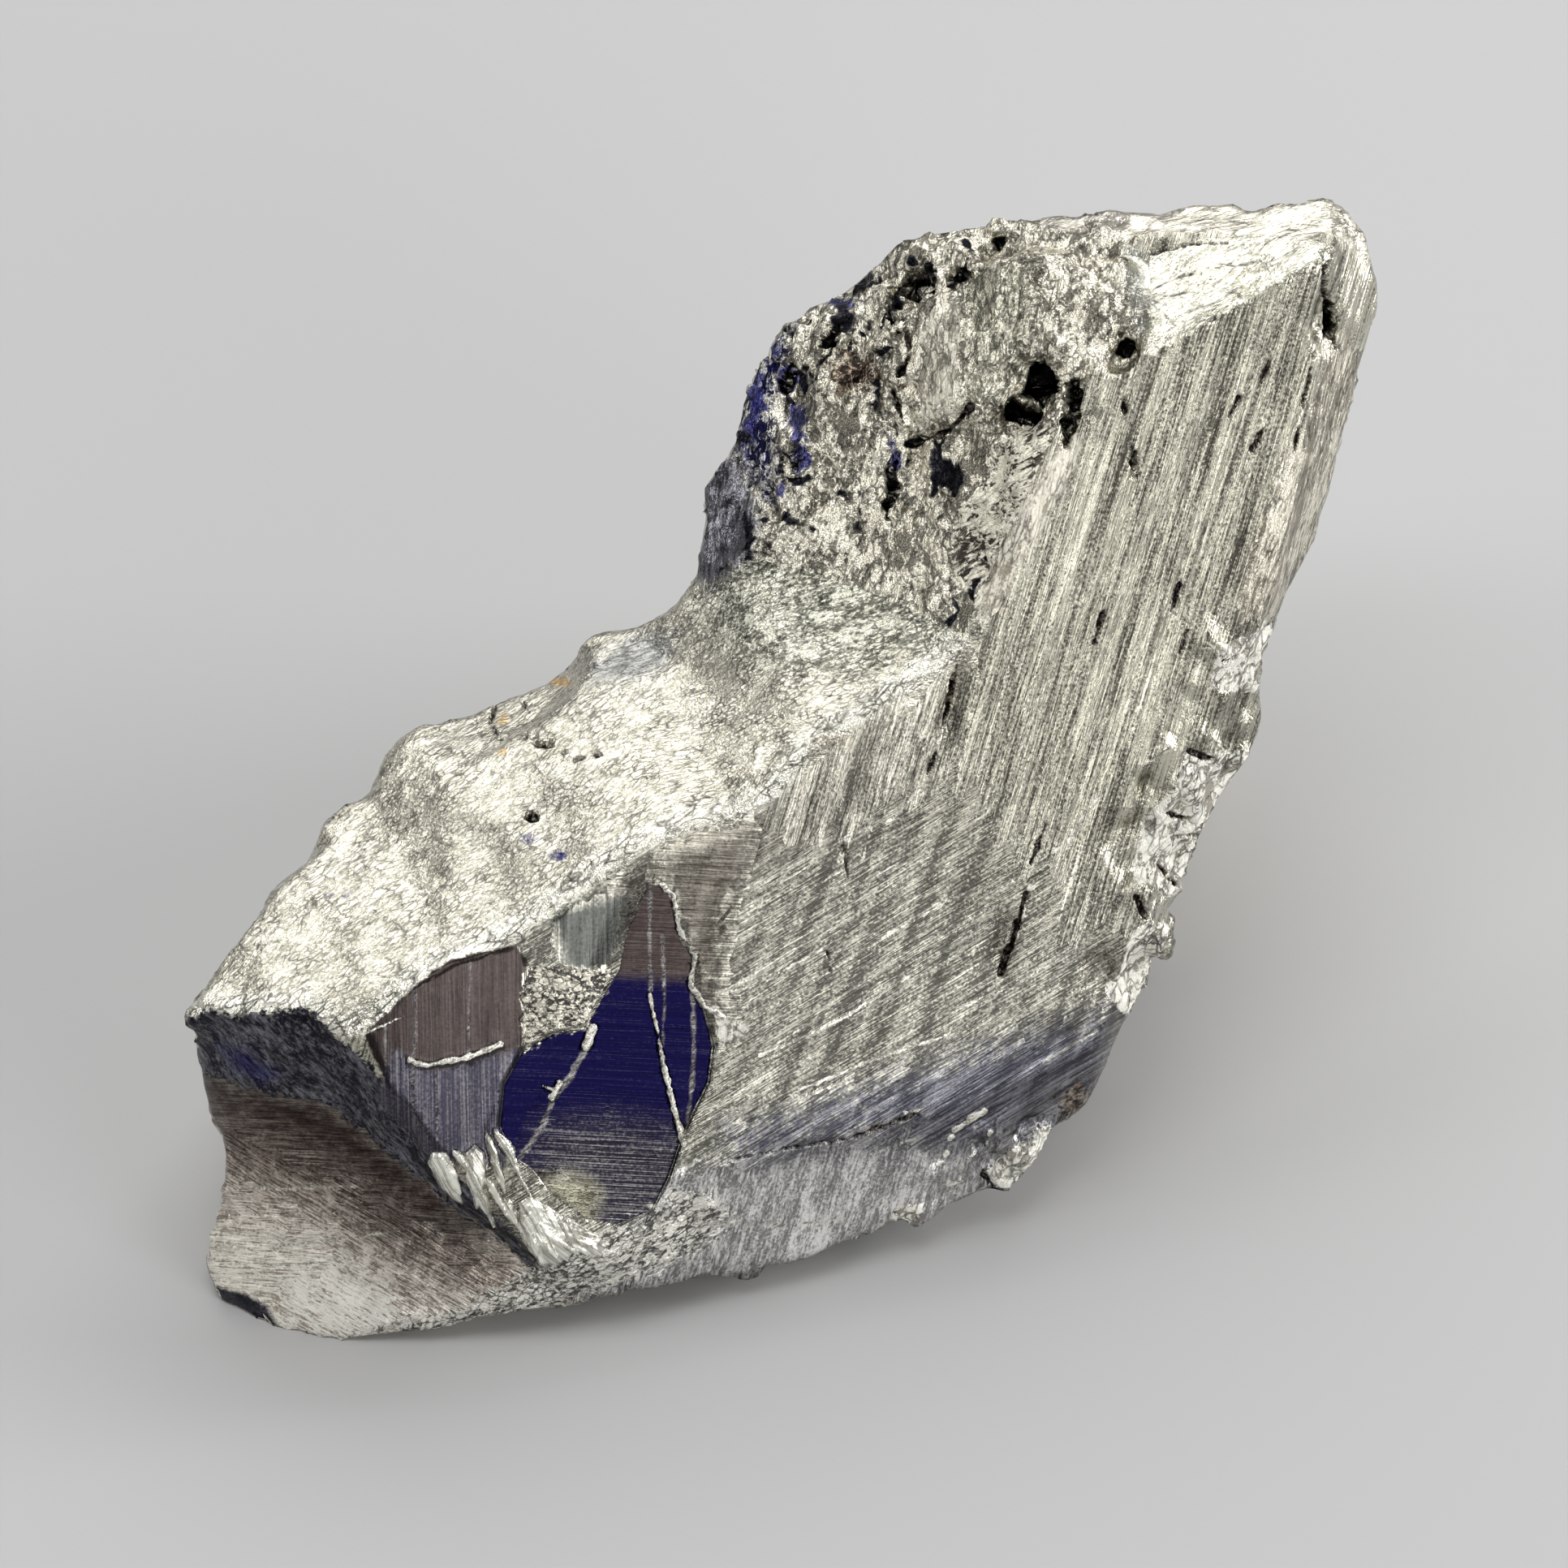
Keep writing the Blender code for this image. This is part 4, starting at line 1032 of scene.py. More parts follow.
BACK_BORDER = 0.4  # mm over which the back's finish sets in
mesh = skin.data
hidden = seen < LEAST_SEEN
measures = {name: within(at, ring) for name, ring in RINGS.items()}
measures["chips"] = highest(within(at, ring) for ring in CHIPS.values())
measures["hollow"] -= WALL_WIDTH / 2  # its wall looks like the rim
for name in ("hollow top", "hollow foot", "olive"):
    measures[name] = np.minimum(measures[name], 10 * measures["hollow"])  # cut sharply by its rim
# painted highlight: the crest measure lays a pale band along the shelf's edge, where the edge would
# catch the light
measures["crest"] = np.minimum(measures["shelf"] + 0.1, 0.8 - distance_to(at, SHELF_EDGE))
# the slot measure carries painted shade: dark inside each slot
for name, lines, rim in (("slot", SLOTS, slot_rim), ("vein", VEINS, vein_rim),
                         ("thread", THREADS, vein_rim), ("scratch", SCRATCHES, vein_rim)):
    measures[name] = highest(line[0] - distance_to(at, line[-1]) for line in lines) - rim
# the pits' measure carries painted shade: their finish is near black inside each oval
ovals = {"pit": [oval for *oval, _ in PITS]}
for *oval, kind in STAINS:
    ovals.setdefault(kind, []).append(oval)
for name, group in ovals.items():
    measures[name] = highest(
        (1 - oval_reach(at, *oval) * oval_rim) * min(oval[2:]) for oval in group)
measures["splinter"] = highest(
    splinter_depth(at, wide, start, end) for wide, _, start, end in SPLINTERS)
for name in measures:
    measures[name] = np.where(hidden, -FAR, measures[name])
measures["back"] = (LEAST_SEEN - seen) * BACK_BORDER
measures["back film"] = np.where(hidden, 2.5 * layered(at / 7, 841) - 0.3, -FAR)
# painted shade: the crevice measure darkens the clefts of the tower and of the back
in_tower = tower_crevices(at) * eased(measures["tower"] / 0.3)
measures["crevice"] = 0.3 * np.where(hidden, crevices(at), in_tower) - 0.09
groups = [list(measures)[first:first + 3] for first in range(0, len(measures), 3)]
for number, group in enumerate(groups):
    three = np.zeros((len(at), 3))
    for axis, name in enumerate(group):
        three[:, axis] = np.clip(measures[name], -FAR, FAR)
    store(mesh, f"measures {number}", three)
print("stored", len(measures), "measures on", len(mesh.polygons), "triangles")

# %% [markdown]
# ## How each surface looks
#
# The whole stone is one metal. What changes from place to place is how bright and how
# smooth it is, which way its grain lies, and which film of tarnish covers it. So each
# surface is one row: the lie, length and width of its grains, the two colours they go
# between, and where the change from dark to light falls. Shares say how much finer grit,
# long bands, little plates, dark seams and larger patches join in. The rest is how rough,
# how metallic and how bumpy it is, and how soft and how ragged its border is. Lines on a
# flat surface stay straight only if its own slight swells don't bend them, so the rows
# marked flat leave out the depth. The rows go from the lowest layer to the topmost.

# %% The broad face
def surface(lie, length, width, dark, light, low=0.36, high=0.60, grit=0.3, bands=0.0,
            plates=0.0, seams=0.0, patches=0.25, rough=0.26, metal=1.0, bump=0.08, edge=0.05,
            wander=0.12, flat=False):
    """One row of the finish; lengths in mm, colours as linear red, green and blue."""
    return dict(lie=lie, length=length, width=width, dark=dark, light=light, low=low, high=high,
                grit=grit, bands=bands, plates=plates, seams=seams, patches=patches,
                rough=rough, metal=metal, bump=bump, edge=edge, wander=wander, flat=flat)


CREAM = (1.0, 0.955, 0.80)
SURFACES = {
    "broad face": surface(RIB_LIE, 5.0, 0.12, (0.10, 0.092, 0.075), (0.62, 0.60, 0.49),
                          0.32, 0.55, grit=0.6, bands=0.6, seams=0.5, patches=0.5, bump=0.09,
                          flat=True),
    "lower face": surface(SWEEP_LIE, 1.7, 0.055, (0.165, 0.161, 0.138), (0.88, 0.855, 0.73),
                          0.41, 0.655, grit=0.6, bands=0.6, seams=0.5, patches=0.4, edge=3.5,
                          wander=1.5, bump=0.065, flat=True),
    "ledge shade": surface(RIB_LIE, 2.0, 0.12, (0.10, 0.095, 0.08), (0.50, 0.475, 0.405),
                           0.37, 0.64, grit=0.5, bands=0.6, seams=0.4, patches=0.5, edge=1.4,
                           wander=0.9, bump=0.06, flat=True),
    "foot": surface(RIB_LIE, 0.7, 0.13, (0.12, 0.12, 0.13), (0.62, 0.61, 0.60),
                    0.37, 0.66, grit=0.6, bands=0.3, patches=0.8, seams=0.4, edge=0.4, bump=0.06,
                    flat=True),
    "foot strip": surface(RIB_LIE, 0.7, 0.13, (0.30, 0.295, 0.29), (1.0, 0.98, 0.95),
                          0.37, 0.66, grit=0.6, bands=0.3, patches=0.7, seams=0.4, metal=0.8,
                          edge=0.8, wander=0.5, bump=0.06, flat=True),
    "violet": surface(SWEEP_LIE, 2.4, 0.08, (0.055, 0.055, 0.07), (0.34, 0.34, 0.375),
                      0.41, 0.74, patches=0.6, bands=0.4, edge=0.9, wander=0.8, bump=0.04,
                      flat=True),
    "bevel": surface(RIB_LIE, 0.9, 0.17, (0.32, 0.29, 0.225), (0.95, 0.90, 0.75), 0.38, 0.58,
                     plates=0.15, patches=0.9, seams=0.9, metal=0.8, edge=0.3, wander=0.3,
                     bump=0.12),
    "film": surface(LEVEL_LIE, 2.5, 0.08, (0.050, 0.043, 0.036), (0.170, 0.156, 0.134), 0.36, 0.68,
                    grit=0.5, bands=0.6, patches=0.4, edge=0.7, wander=0.6, bump=0.02, flat=True),
    "slate": surface(UPRIGHT_LIE, 5.0, 0.16, (0.050, 0.052, 0.048), (0.115, 0.120, 0.110),
                     0.32, 0.72, grit=0.5, bands=0.3, patches=0.4, edge=0.35, bump=0.02,
                     flat=True),
}
print(len(SURFACES), "rows for the broad face")

# %% The shelf, the raised corner and the top
SURFACES |= {
    "shelf": surface(SHELF_LIE, 0.60, 0.16, (0.50, 0.48, 0.39), (0.83, 0.795, 0.675), 0.35, 0.54,
                     grit=0.35, plates=0.12, seams=0.8, patches=0.3, rough=0.26, bump=0.06,
                     wander=0.25),
    "shelf right": surface(SHELF_RIGHT_LIE, 0.62, 0.17, (0.55, 0.53, 0.435), CREAM, 0.31, 0.53,
                           plates=0.12, seams=0.95, patches=0.45, rough=0.24, metal=0.9,
                           bump=0.075, edge=1.5, wander=0.5),
    "lobe": surface(SHELF_RIGHT_LIE, 1.5, 0.3, (0.24, 0.24, 0.23), (0.48, 0.48, 0.455),
                    edge=0.4, seams=0.6, patches=0.4, wander=0.3),
    "valley": surface(SHELF_RIGHT_LIE, 0.45, 0.18, (0.15, 0.15, 0.12), (0.90, 0.89, 0.75),
                      0.36, 0.60, grit=0.4, plates=0.15, seams=0.9, patches=0.7, bump=0.11,
                      edge=0.8, wander=0.6),
    "tower": surface(TOWER_LIE, 0.60, 0.27, (0.21, 0.195, 0.157), (1.0, 0.95, 0.79), 0.38, 0.54,
                     grit=0.35, plates=0.28, seams=0.85, patches=0.9, rough=0.20, metal=0.75,
                     bump=0.14, wander=0.3),
    "crown": surface(TOWER_LIE, 0.5, 0.18, (0.20, 0.20, 0.155), (0.86, 0.83, 0.68), patches=0.6,
                     grit=0.4, plates=0.15, seams=0.8, edge=0.5, wander=0.4, bump=0.10),
    "slab": surface(TOWER_LIE, 0.7, 0.20, (0.38, 0.355, 0.285), CREAM, 0.40, 0.52, plates=0.3,
                    seams=0.8, metal=0.5, patches=0.8, bump=0.14, edge=0.15, wander=0.25),
    "hackles": surface(HACKLE_LIE, 1.1, 0.20, (0.05, 0.04, 0.03), (1.0, 0.955, 0.79),
                       0.40, 0.50, grit=0.2, seams=0.6, patches=0.5, metal=0.5, bump=0.16,
                       rough=0.2, edge=0.3, wander=0.4),
    "buff": surface(RIB_LIE, 0.9, 0.24, (0.42, 0.38, 0.30), (1.0, 0.95, 0.80), 0.36, 0.50,
                    edge=0.25, seams=0.8, plates=0.1, patches=0.8, metal=0.3, wander=0.3,
                    bump=0.13, rough=0.3),
    "blue flank": surface(TOWER_LIE, 0.6, 0.22, (0.008, 0.008, 0.045), (0.52, 0.52, 0.54),
                          0.49, 0.60, plates=0.25, seams=0.6, patches=0.7, edge=0.3, wander=0.5,
                          bump=0.14),
    "slate flank": surface(TOWER_LIE, 1.6, 0.25, (0.07, 0.07, 0.082), (0.32, 0.32, 0.35),
                           seams=0.5, patches=0.6, edge=0.4, wander=0.3, bump=0.08),
    "top facet": surface(TOP_LIE, 1.8, 0.20, (0.60, 0.575, 0.45), (1.0, 0.98, 0.83), 0.34, 0.54,
                         seams=0.55, patches=0.4, rough=0.22, bump=0.08, edge=0.03, wander=0.02),
    "grey facet": surface(TOWER_LIE, 2.0, 0.4, (0.32, 0.32, 0.28), (0.66, 0.65, 0.57), edge=0.12,
                          seams=0.3),
    "top edge": surface(SHELF_RIGHT_LIE, 1.4, 0.22, (0.52, 0.49, 0.41), CREAM, 0.36, 0.56, edge=0.3,
                        seams=0.9, patches=0.5, metal=0.8, bump=0.06, wander=0.3),
    "rim": surface(SHELF_RIGHT_LIE, 1.5, 0.5, (0.50, 0.47, 0.40), (0.82, 0.77, 0.68), edge=0.2,
                   seams=0.6, metal=0.8, bump=0.08),
    # painted highlight: a pale band along the shelf's edge, where the edge would catch the light
    "crest": surface(SHELF_LIE, 0.9, 0.3, (0.74, 0.72, 0.61), (1.0, 0.98, 0.86), 0.34, 0.50,
                     plates=0.1, seams=1.0, metal=0.75, rough=0.22, bump=0.12, edge=0.25,
                     wander=0.3),
}
print(len(SURFACES), "rows so far")

# %% The left end, the lip and the hollow
SURFACES |= {
    "end": surface(LEVEL_LIE, 0.9, 0.08, (0.42, 0.36, 0.29), (1.0, 0.955, 0.84), 0.34, 0.50,
                   grit=0.4, bands=0.3, patches=0.35, seams=0.4, metal=0.1, bump=0.09, flat=True),
    "end sparkle": surface(END_LIE, 0.65, 0.10, (0.40, 0.335, 0.27), (1.0, 0.975, 0.88),
                           0.35, 0.48, grit=0.3, bands=0.3, patches=0.3, metal=0.1, rough=0.2,
                           bump=0.11, edge=1.5, wander=0.5, flat=True),
    # partly the end's own brown and partly painted shade under the lip, fading out away from it
    "end brown": surface(END_LIE, 0.9, 0.08, (0.085, 0.062, 0.054), (0.56, 0.475, 0.40), 0.42, 0.66,
                         grit=0.4, bands=0.3, patches=0.4, seams=0.5, metal=0.8, bump=0.08,
                         edge=2.0, wander=0.8, flat=True),
    "end shade": surface(LEVEL_LIE, 1.6, 0.08, (0.022, 0.014, 0.014), (0.085, 0.06, 0.053),
                         edge=1.6, wander=0.5, seams=0.6, bump=0.05, flat=True),
    # the lip's dark navy is partly its own tarnish and partly painted shade, as it is the shaded
    # lower-left side
    "lip": surface(LIP_LIE, 0.6, 0.2, (0.018, 0.018, 0.028), (0.22, 0.22, 0.245), 0.41, 0.72,
                   plates=0.12, seams=0.8, patches=0.5, bump=0.10, wander=0.35, rough=0.3),
    "lip blue": surface(LIP_LIE, 1.0, 0.2, (0.008, 0.007, 0.045), (0.06, 0.06, 0.15), edge=0.35,
                        seams=0.6),
    "chamfer": surface(LEVEL_LIE, 1.0, 0.3, (0.025, 0.027, 0.033), (0.07, 0.07, 0.082), edge=0.1,
                       bump=0.03),
    "panel": surface(UPRIGHT_LIE, 6.0, 0.10, (0.046, 0.036, 0.034), (0.073, 0.060, 0.056),
                     0.32, 0.68, grit=0.6, bands=0.1, patches=0.3, seams=0.6, bump=0.010,
                     flat=True),
    "panel foot": surface(UPRIGHT_LIE, 9.0, 0.09, (0.042, 0.040, 0.056), (0.158, 0.149, 0.160),
                          0.42, 0.70, grit=0.4, bands=0.1, patches=0.4, edge=0.15, bump=0.012,
                          flat=True),
    # the mirror floor: deep blue tarnish, painted nearly black as the dark reflection that the
    # mirror shows
    "hollow": surface(LEVEL_LIE, 5.0, 0.05, (0.0035, 0.0028, 0.020), (0.032, 0.030, 0.050),
                      0.56, 0.82, patches=0.1, rough=0.16, bump=0.003, edge=0.02, wander=0.04,
                      flat=True),
    "hollow top": surface(LEVEL_LIE, 3.0, 0.06, (0.024, 0.018, 0.017), (0.062, 0.051, 0.047),
                          0.40, 0.78, bands=0.4, rough=0.2, bump=0.006, edge=0.35, wander=0.2,
                          flat=True),
    "hollow foot": surface(LEVEL_LIE, 4.0, 0.06, (0.012, 0.011, 0.018), (0.20, 0.19, 0.18),
                           0.48, 0.74, patches=0.1, rough=0.2, bump=0.006, edge=1.0, wander=0.3,
                           flat=True),
    "olive": surface(LEVEL_LIE, 1.0, 0.3, (0.10, 0.095, 0.065), (0.26, 0.25, 0.19), edge=0.5),
}
print(len(SURFACES), "rows so far")

# %% Crumbs and chips, the back, lines and stains
SURFACES |= {
    "sugar": surface(LEVEL_LIE, 0.26, 0.18, (0.08, 0.076, 0.068), CREAM, 0.41, 0.52, grit=0.1,
                     plates=0.25, seams=1.0, metal=0.7, bump=0.15, edge=0.1, wander=0.3, rough=0.2),
    "foot sugar": surface(SWEEP_LIE, 0.34, 0.18, (0.10, 0.096, 0.088), (1.0, 0.98, 0.88),
                          0.37, 0.53, grit=0.15, plates=0.25, seams=1.0, metal=0.6, bump=0.14,
                          edge=0.3, wander=0.5),
    "fan": surface(on_slope(-38), 4.0, 0.16, (0.46, 0.455, 0.40), (1.0, 0.985, 0.89), 0.38, 0.56,
                   grit=0.05, seams=0.3, metal=0.7, bump=0.025, edge=0.04, flat=True),
    "splinter": surface(on_slope(-60), 4.0, 0.14, (0.42, 0.41, 0.35), (1.0, 0.985, 0.88),
                        0.40, 0.54, grit=0.15, seams=0.3, metal=0.6, bump=0.03, edge=0.03,
                        wander=0.03, flat=True),
    "chips": surface(TOWER_LIE, 0.7, 0.30, (0.33, 0.305, 0.25), (1.0, 0.975, 0.87), 0.35, 0.43,
                     plates=0.4, seams=1.0, metal=0.0, bump=0.18, rough=0.2, wander=0.12),
    "back": surface(TOWER_LIE, 0.6, 0.36, (0.34, 0.32, 0.265), (0.96, 0.92, 0.77), 0.32, 0.62,
                    grit=0.25, plates=0.25, seams=0.9, patches=1.0, metal=0.9, bump=0.12),
    "back film": surface(TOWER_LIE, 0.75, 0.36, (0.10, 0.094, 0.092), (0.40, 0.375, 0.34),
                         0.34, 0.64, grit=0.2, plates=0.15, seams=0.7, patches=1.0, edge=1.2,
                         wander=0.8, bump=0.08),
    "thread": surface(SWEEP_LIE, 0.6, 0.1, (0.05, 0.047, 0.05), (0.24, 0.23, 0.225), 0.40, 0.66,
                      bump=0.03, edge=0.05, wander=0.05),
    "scratch": surface(SWEEP_LIE, 0.6, 0.1, (0.26, 0.25, 0.215), (0.86, 0.84, 0.74), 0.38, 0.60,
                       metal=0.8, bump=0.03, edge=0.05, wander=0.05),
    "vein": surface(SWEEP_LIE, 0.4, 0.15, (0.36, 0.34, 0.29), (1.0, 0.98, 0.88), 0.38, 0.54,
                    metal=0.7, bump=0.08, edge=0.02, wander=0.06, rough=0.24),
    "blue": surface(TOWER_LIE, 0.8, 0.2, (0.014, 0.014, 0.11), (0.13, 0.13, 0.28), edge=0.08,
                    seams=0.5, wander=0.15),
    "orange": surface(LEVEL_LIE, 0.4, 0.3, (0.50, 0.27, 0.08), (0.90, 0.62, 0.26), metal=0.6,
                      edge=0.12, wander=0.2),
    "brown": surface(TOWER_LIE, 0.5, 0.3, (0.025, 0.017, 0.013), (0.48, 0.38, 0.29), 0.42, 0.60,
                     seams=0.8, edge=0.3, wander=0.4, bump=0.16),
    # painted shade: near black in the clefts
    "crevice": surface(TOWER_LIE, 0.6, 0.3, (0.008, 0.008, 0.012), (0.07, 0.068, 0.075),
                       0.5, 0.8, edge=0.05, wander=0.05),
    # painted shade: dark inside the slots, where shade falls in a cleft
    "slot": surface(RIB_LIE, 0.4, 0.14, (0.014, 0.011, 0.012), (0.26, 0.23, 0.20), 0.46, 0.66,
                    edge=0.05, wander=0.05),
    # painted shade: near black inside the pits, with a few paler specks
    "pit": surface(RIB_LIE, 0.4, 0.2, (0.006, 0.006, 0.006), (0.42, 0.40, 0.34), 0.52, 0.72,
                   edge=0.06, wander=0.08),
}
print(len(SURFACES), "rows of finish")

# %% [markdown]
# ## One material from the rows
#
# A material could work out every surface's noise and mix the results, but fifty noises
# cost fifty times one. So the rows are mixed first, and the noise is worked out once,
# in the coordinates and with the limits that came through. The shader's coordinates are
# the object's own, turned onto the broad face, in millimetres.

# %% Node helpers
class Finish:
    """The nodes of one material."""

    def __init__(self, name):
        self.material = bpy.data.materials.new(name)
        self.material.use_nodes = True
        self.nodes = self.material.node_tree.nodes
        self.links = self.material.node_tree.links
        self.shader = self.nodes["Principled BSDF"]

    def feed(self, socket, value):
        """Links a socket, or sets a plain value."""
        if isinstance(value, bpy.types.NodeSocket):
            self.links.new(value, socket)
        else:
            socket.default_value = value

    def node(self, kind, *values, named=None, **settings):
        """A new node: some settings changed, its first sockets fed and others fed by name."""
        made = self.nodes.new(kind)
        for key, value in settings.items():
            setattr(made, key, value)
        for socket, value in zip(made.inputs, values):
            self.feed(socket, value)
        for name, value in (named or {}).items():
            self.feed(made.inputs[name], value)
        return made

    def placed(self, vector, location, rotation, scale):
        """Coordinates in a turned box: less the place, turned back, over the size."""
        return self.node("ShaderNodeMapping", vector, location, rotation, scale,
                         vector_type="TEXTURE").outputs["Vector"]

    def vector(self, operation, first, second):
        """One sum, difference or dot product of vectors."""
        made = self.node("ShaderNodeVectorMath", first, second, operation=operation)
        return made.outputs["Value" if operation == "DOT_PRODUCT" else "Vector"]

    def scaled(self, vector, factor):
        """A vector times a number."""
        return self.node("ShaderNodeVectorMath", vector, named={"Scale": factor},
                         operation="SCALE").outputs["Vector"]

    def math(self, operation, *values):
        """One sum, product or the like of numbers."""
        return self.node("ShaderNodeMath", *values, operation=operation).outputs[0]

    def grains(self, vector, lie, length, width):
        """The part along the lie over the length, plus the rest over the width."""
        along = self.vector("DOT_PRODUCT", vector, lie)
        aside = self.vector("SUBTRACT", vector, self.scaled(lie, along))
        return self.vector("ADD", self.scaled(aside, self.math("DIVIDE", 1.0, width)),
                           self.scaled(lie, self.math("DIVIDE", along, length)))

    def plates(self, vector, feature="F1"):
        """Scattered centres: which is nearest and its colour, or how far the border is."""
        return self.node("ShaderNodeTexVoronoi", vector, named={"Scale": 1.0},
                         feature=feature).outputs

    def stored(self, name):
        """A vector that is stored on the mesh."""
        return self.node("ShaderNodeAttribute", attribute_name=name).outputs["Vector"]

    def noise(self, vector, scale=1.0, detail=3.0, roughness=0.6):
        """Layered noise, about 0.5 on average."""
        named = {"Scale": scale, "Detail": detail, "Roughness": roughness}
        return self.node("ShaderNodeTexNoise", vector, named=named).outputs["Fac"]

    def ramp(self, value, low, high, start=0.0, end=1.0):
        """A straight rise from start to end while the value goes from low to high."""
        return self.node("ShaderNodeMapRange", value, low, high, start, end).outputs["Result"]

    def mix(self, share, first, second):
        """The first vector where the share is 0 or less, the second where it is 1 or more."""
        made = self.node("ShaderNodeMix", data_type="VECTOR")
        for name, value in (("Factor_Float", share), ("A_Vector", first), ("B_Vector", second)):
            self.feed(next(s for s in made.inputs if s.identifier == name), value)
        return next(s for s in made.outputs if s.identifier == "Result_Vector")

    def parts(self, vector):
        """The three numbers of a vector."""
        return self.node("ShaderNodeSeparateXYZ", vector).outputs[:]


print("helpers:", ", ".join(name for name in vars(Finish) if not name.startswith("_")))


# %% [markdown]
# ## Grain for each triangle
#
# The lie of the grain must not bend at a border, or the noise is squeezed into a line
# there. So it is stored for each triangle as a whole, with the size of the grain. The
# place on the face is stored as well, at each triangle's own corners, because flat
# surfaces leave out its depth.

# %% Store the lie and size of the grains
def unit(direction):
    """A direction at length 1."""
    return np.array(direction, float) / np.linalg.norm(direction)


ends = field(mesh.polygons, "vertices", 3)
lies, sizes, depths = np.zeros((len(ends), 3)), np.zeros((len(ends), 3)), np.ones(len(ends))
drift = (0.5 * layered(at / 0.45, 901))[ends].mean(axis=1)
streaky = layered(stretched(at, RIB_LIE, 6.0, 0.7), 911)[ends].mean(axis=1)
for name, row in SURFACES.items():
    depth = measures[name][ends].mean(axis=1) if name in measures else np.ones(len(ends))
    inside = depth + row["wander"] * drift + row["edge"] * streaky > 0
    lies[inside] = unit(np.array(row["lie"]) * (1, 1, 0 if row["flat"] else 1))
    sizes[inside] = row["length"], row["width"], row["bump"]
    depths[inside] = 0 if row["flat"] else 1
places = at[ends]
places[:, :, 2] *= depths[:, None]
store(mesh, "lie", lies, "FACE")
store(mesh, "grain", sizes, "FACE")
store(mesh, "place", places, "CORNER")
print("grains from", sizes[:, 1].min(), "to", sizes[:, 0].max(), "mm")

# %% Mix the rows, then work out the noise
GRIT_MM = 0.13
WANDER_MM = 0.45
BAND_SIZE_MM = (14.0, 0.8)
SHOWN_MM = 1.2  # size of the areas where seams show, or don't
PATCH_GRAINS = 6  # a patch is this many grains long and wide
PLATE_GRAINS = 1.5
SEAM_WIDTH = 0.13  # of a plate's width
HAIR_WIDTH = 0.014  # share of the noise's range that is a hair crack
GAP_COLOUR = (0.02, 0.019, 0.018)
MIDDLE = (0.5, 0.5, 0.5)
PLATE_BEND = 0.7  # how far the streaks bend the plates, in plates
PLATE_TILT, GRIT_HEIGHT = 0.8, 0.3  # in the bump, beside the streaks
HAIR_SHARE = 0.8  # how dark a hair crack is beside a full seam
SHOWN = (0.40, 0.58)  # where in that noise the seams set in, and where they are full
DRIFT = 2.0  # the borders' wander goes from minus this to this
BAND_LIE = on_slope(73)


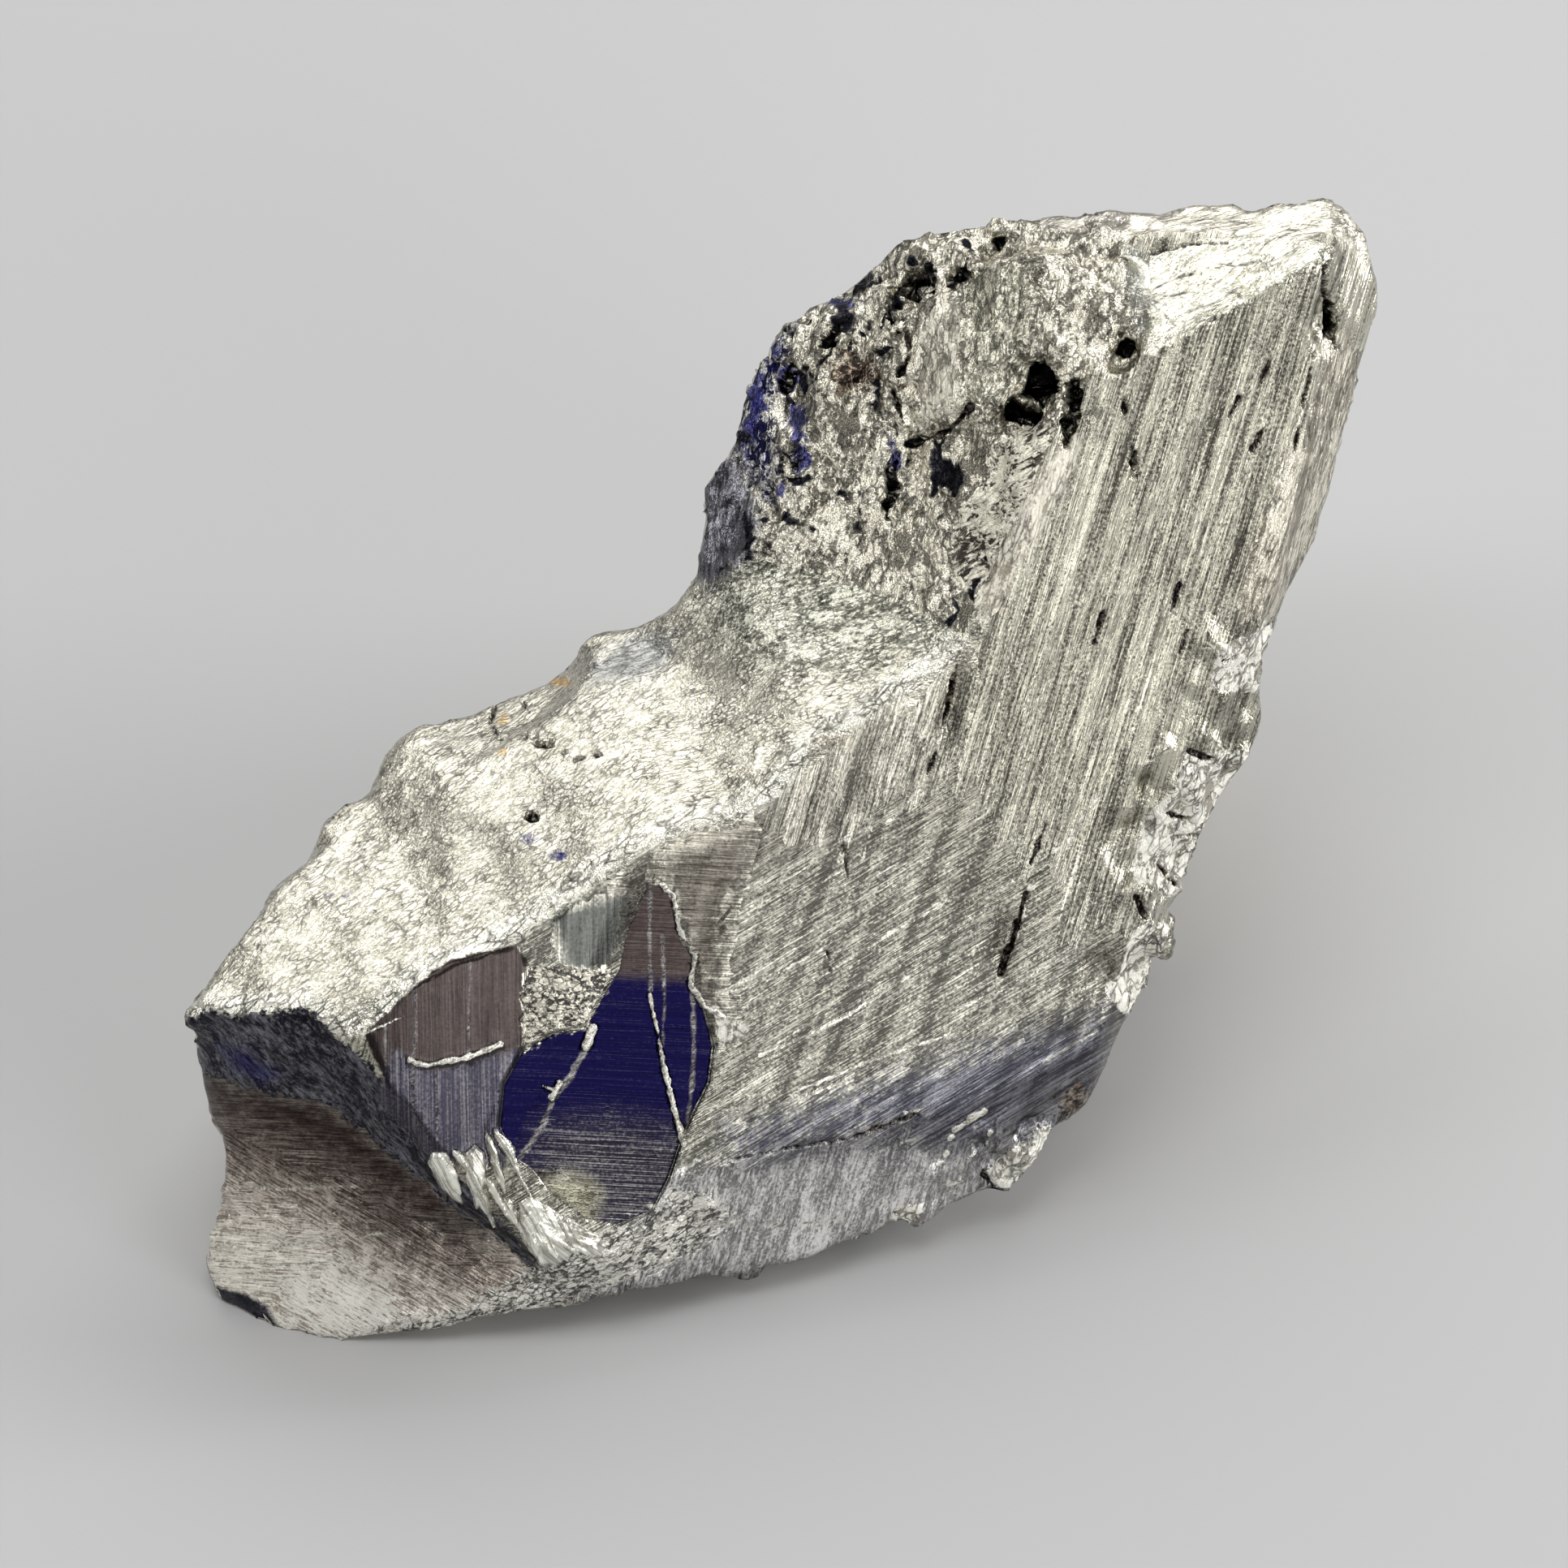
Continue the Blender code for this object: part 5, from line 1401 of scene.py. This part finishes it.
def stone_finish():
    """All surfaces of the stone in one metal."""
    f = Finish("pyrite")
    where = f.node("ShaderNodeTexCoord").outputs["Object"]
    face = f.placed(where, FACE_DATUM_MM * MM, FACE_TURN.to_euler(), (MM, MM, MM))
    length, width, bump_height = f.parts(f.stored("grain"))
    place = f.stored("place")
    grains = f.grains(place, f.stored("lie"), length, width)
    streak = f.noise(grains, roughness=0.65)
    grit = f.noise(face, 1 / GRIT_MM, 1)
    bent = f.vector("ADD", f.scaled(grains, 1 / PLATE_GRAINS),
                    f.scaled((1.0, 1.0, 1.0), f.math("MULTIPLY", streak, PLATE_BEND)))
    nearest = f.plates(bent)
    hue = nearest["Color"]
    tilt = f.vector("DOT_PRODUCT", f.vector("SUBTRACT", bent, nearest["Position"]),
                    f.vector("SUBTRACT", hue, MIDDLE))
    height = f.math("MULTIPLY_ADD", tilt, PLATE_TILT,
                    f.math("MULTIPLY_ADD", grit, GRIT_HEIGHT, streak))
    bump = f.node("ShaderNodeBump", named={
        "Distance": MM, "Height": f.math("MULTIPLY", bump_height, height)})
    f.feed(f.shader.inputs["Normal"], bump.outputs["Normal"])

    drift = f.math("MULTIPLY_ADD", f.noise(face, 1 / WANDER_MM), 2 * DRIFT, -DRIFT)
    measured = {}
    for number, group in enumerate(groups):
        measured.update(zip(group, f.parts(f.stored(f"measures {number}"))))
    mixed = None
    for name, row in SURFACES.items():
        values = [row["dark"], row["light"], (row["low"], row["high"], row["grit"]),
                  (row["bands"], row["plates"], row["seams"]),
                  (row["patches"], row["rough"], row["metal"])]
        if mixed is None:
            mixed = values
            continue
        ragged = f.math("MULTIPLY_ADD", drift, row["wander"], measured[name])
        share = f.math("MULTIPLY_ADD", ragged, 0.5 / row["edge"], 0.5)
        mixed = [f.mix(share, old, new) for old, new in zip(mixed, values)]
    dark, light, limits, shares, others = mixed
    low, high, grit_share = f.parts(limits)
    band_share, plate_share, seam_share = f.parts(shares)
    patch_share, rough, metal = f.parts(others)

    patches = f.noise(grains, 1 / PATCH_GRAINS, 2)
    bands = f.noise(f.grains(place, unit(BAND_LIE), *BAND_SIZE_MM), detail=2)
    tone = streak
    for part, share in ((grit, grit_share), (f.parts(hue)[0], plate_share),
                        (patches, patch_share), (bands, band_share)):
        tone = f.math("MULTIPLY_ADD", f.math("SUBTRACT", part, 0.5), share, tone)
    colour = f.mix(f.ramp(tone, low, high), dark, light)
    border = f.plates(bent, "DISTANCE_TO_EDGE")["Distance"]
    seam = f.ramp(border, 0.0, SEAM_WIDTH, 1.0, 0.0)
    shown = f.ramp(f.noise(face, 1 / SHOWN_MM, 2), *SHOWN)
    hair = f.ramp(f.math("ABSOLUTE", f.math("SUBTRACT", patches, 0.5)),
                  0.0, HAIR_WIDTH, HAIR_SHARE, 0.0)
    gap = f.math("MAXIMUM", f.math("MULTIPLY", seam, shown), hair)
    f.feed(f.shader.inputs["Base Color"],
           f.mix(f.math("MULTIPLY", gap, seam_share), colour, GAP_COLOUR))
    f.feed(f.shader.inputs["Roughness"], rough)
    f.feed(f.shader.inputs["Metallic"], metal)
    return f.material


skin.name = "pyrite_skin"
skin.data.materials.clear()
skin.data.materials.append(stone_finish())
skin.data.shade_smooth()
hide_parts("pyrite")
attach(skin, "root")
print("finish has", len(skin.data.materials[0].node_tree.nodes), "nodes")

# %% [markdown]
# ## Floor, light and camera
#
# Metal shows what it reflects, so the lamps are large and soft. One hangs high behind
# the stone, where the shelf and the top facet mirror it, and one stands low on the
# right, where the broad face looks. The left end and the lip see neither; they mirror
# the pale floor.

# %% Floor
FLOOR_REACH = 1.5  # metres to each side of the stone
PALE = 0.58


def floor_plane(reach):
    """A flat square under the stone."""
    mesh = bpy.data.meshes.new("floor")
    mesh.from_pydata([(-reach, -reach, 0), (reach, -reach, 0), (reach, reach, 0),
                      (-reach, reach, 0)], [], [(0, 1, 2, 3)])
    return object_of("floor", mesh)


floor = floor_plane(FLOOR_REACH)
paper = Finish("floor")
paper.feed(paper.shader.inputs["Base Color"], (PALE, PALE, PALE, 1))
paper.feed(paper.shader.inputs["Roughness"], 0.85)
floor.data.materials.append(paper.material)
print("floor is", 2 * FLOOR_REACH, "m wide")


# %% Lamps
AIM = Vector((0, 0, 0.015))
LAMPS = {  # azimuth, elevation, distance, size, brightness
    "lamp_behind": (180, 48, 0.45, (0.56, 0.34), 1.9),
    "lamp_right": (38, 20, 0.50, (0.30, 0.22), 3.0),
    "lamp_above": (-25, 74, 0.50, (0.26, 0.26), 2.4),
    "lamp_left": (-75, 30, 0.50, (0.20, 0.30), 2.5),
    "lamp_side": (100, 16, 0.50, (0.24, 0.20), 10.0),
}
ROOM_LIGHT = 0.22


def softbox(name, azimuth, elevation, distance, size, brightness):
    """A lamp that faces the stone from a direction; azimuth 0 is in front, 90 on the right.

    Its power is brightness times pi times its area, so its size doesn't change how bright
    its reflection looks.
    """
    a, e = math.radians(azimuth), math.radians(elevation)
    away = Vector((math.sin(a) * math.cos(e), -math.cos(a) * math.cos(e), math.sin(e)))
    lamp = bpy.data.lights.new(name, "AREA")
    lamp.shape = "RECTANGLE"
    lamp.size, lamp.size_y = size
    lamp.energy = brightness * math.pi * size[0] * size[1]
    made = object_of(name, lamp)
    made.location = AIM + distance * away
    made.rotation_euler = away.to_track_quat("Z", "Y").to_euler()


for name, lamp in LAMPS.items():
    softbox(name, *lamp)
world = bpy.data.worlds.new("room")
bpy.context.scene.world = world
world.use_nodes = True
background = world.node_tree.nodes["Background"]
background.inputs["Color"].default_value = (1, 1, 1, 1)
background.inputs["Strength"].default_value = ROOM_LIGHT
print(len(LAMPS), "lamps")

# %% Camera
FRAME_WIDTH_MM = 67.62  # as wide as the frame is where the stone is
MIDDLE_OUT_MM = 10  # the middle of the stone, out from the datum
LENS = 1000.0
SENSOR = 36.0
camera_data = bpy.data.cameras.new("camera")
camera_data.lens = LENS
camera_data.sensor_width = SENSOR
camera_data.clip_end = 20.0  # metres; the floor ends well before
camera = object_of("camera", camera_data)
camera.location = in_room(0, 0, MIDDLE_OUT_MM + FRAME_WIDTH_MM * LENS / SENSOR)
camera.rotation_euler = FACE_TURN.to_euler()
bpy.context.scene.camera = camera
bpy.context.scene.view_settings.view_transform = "Standard"
print("camera", round(camera.location.length, 2), "m away")

# %% [markdown]
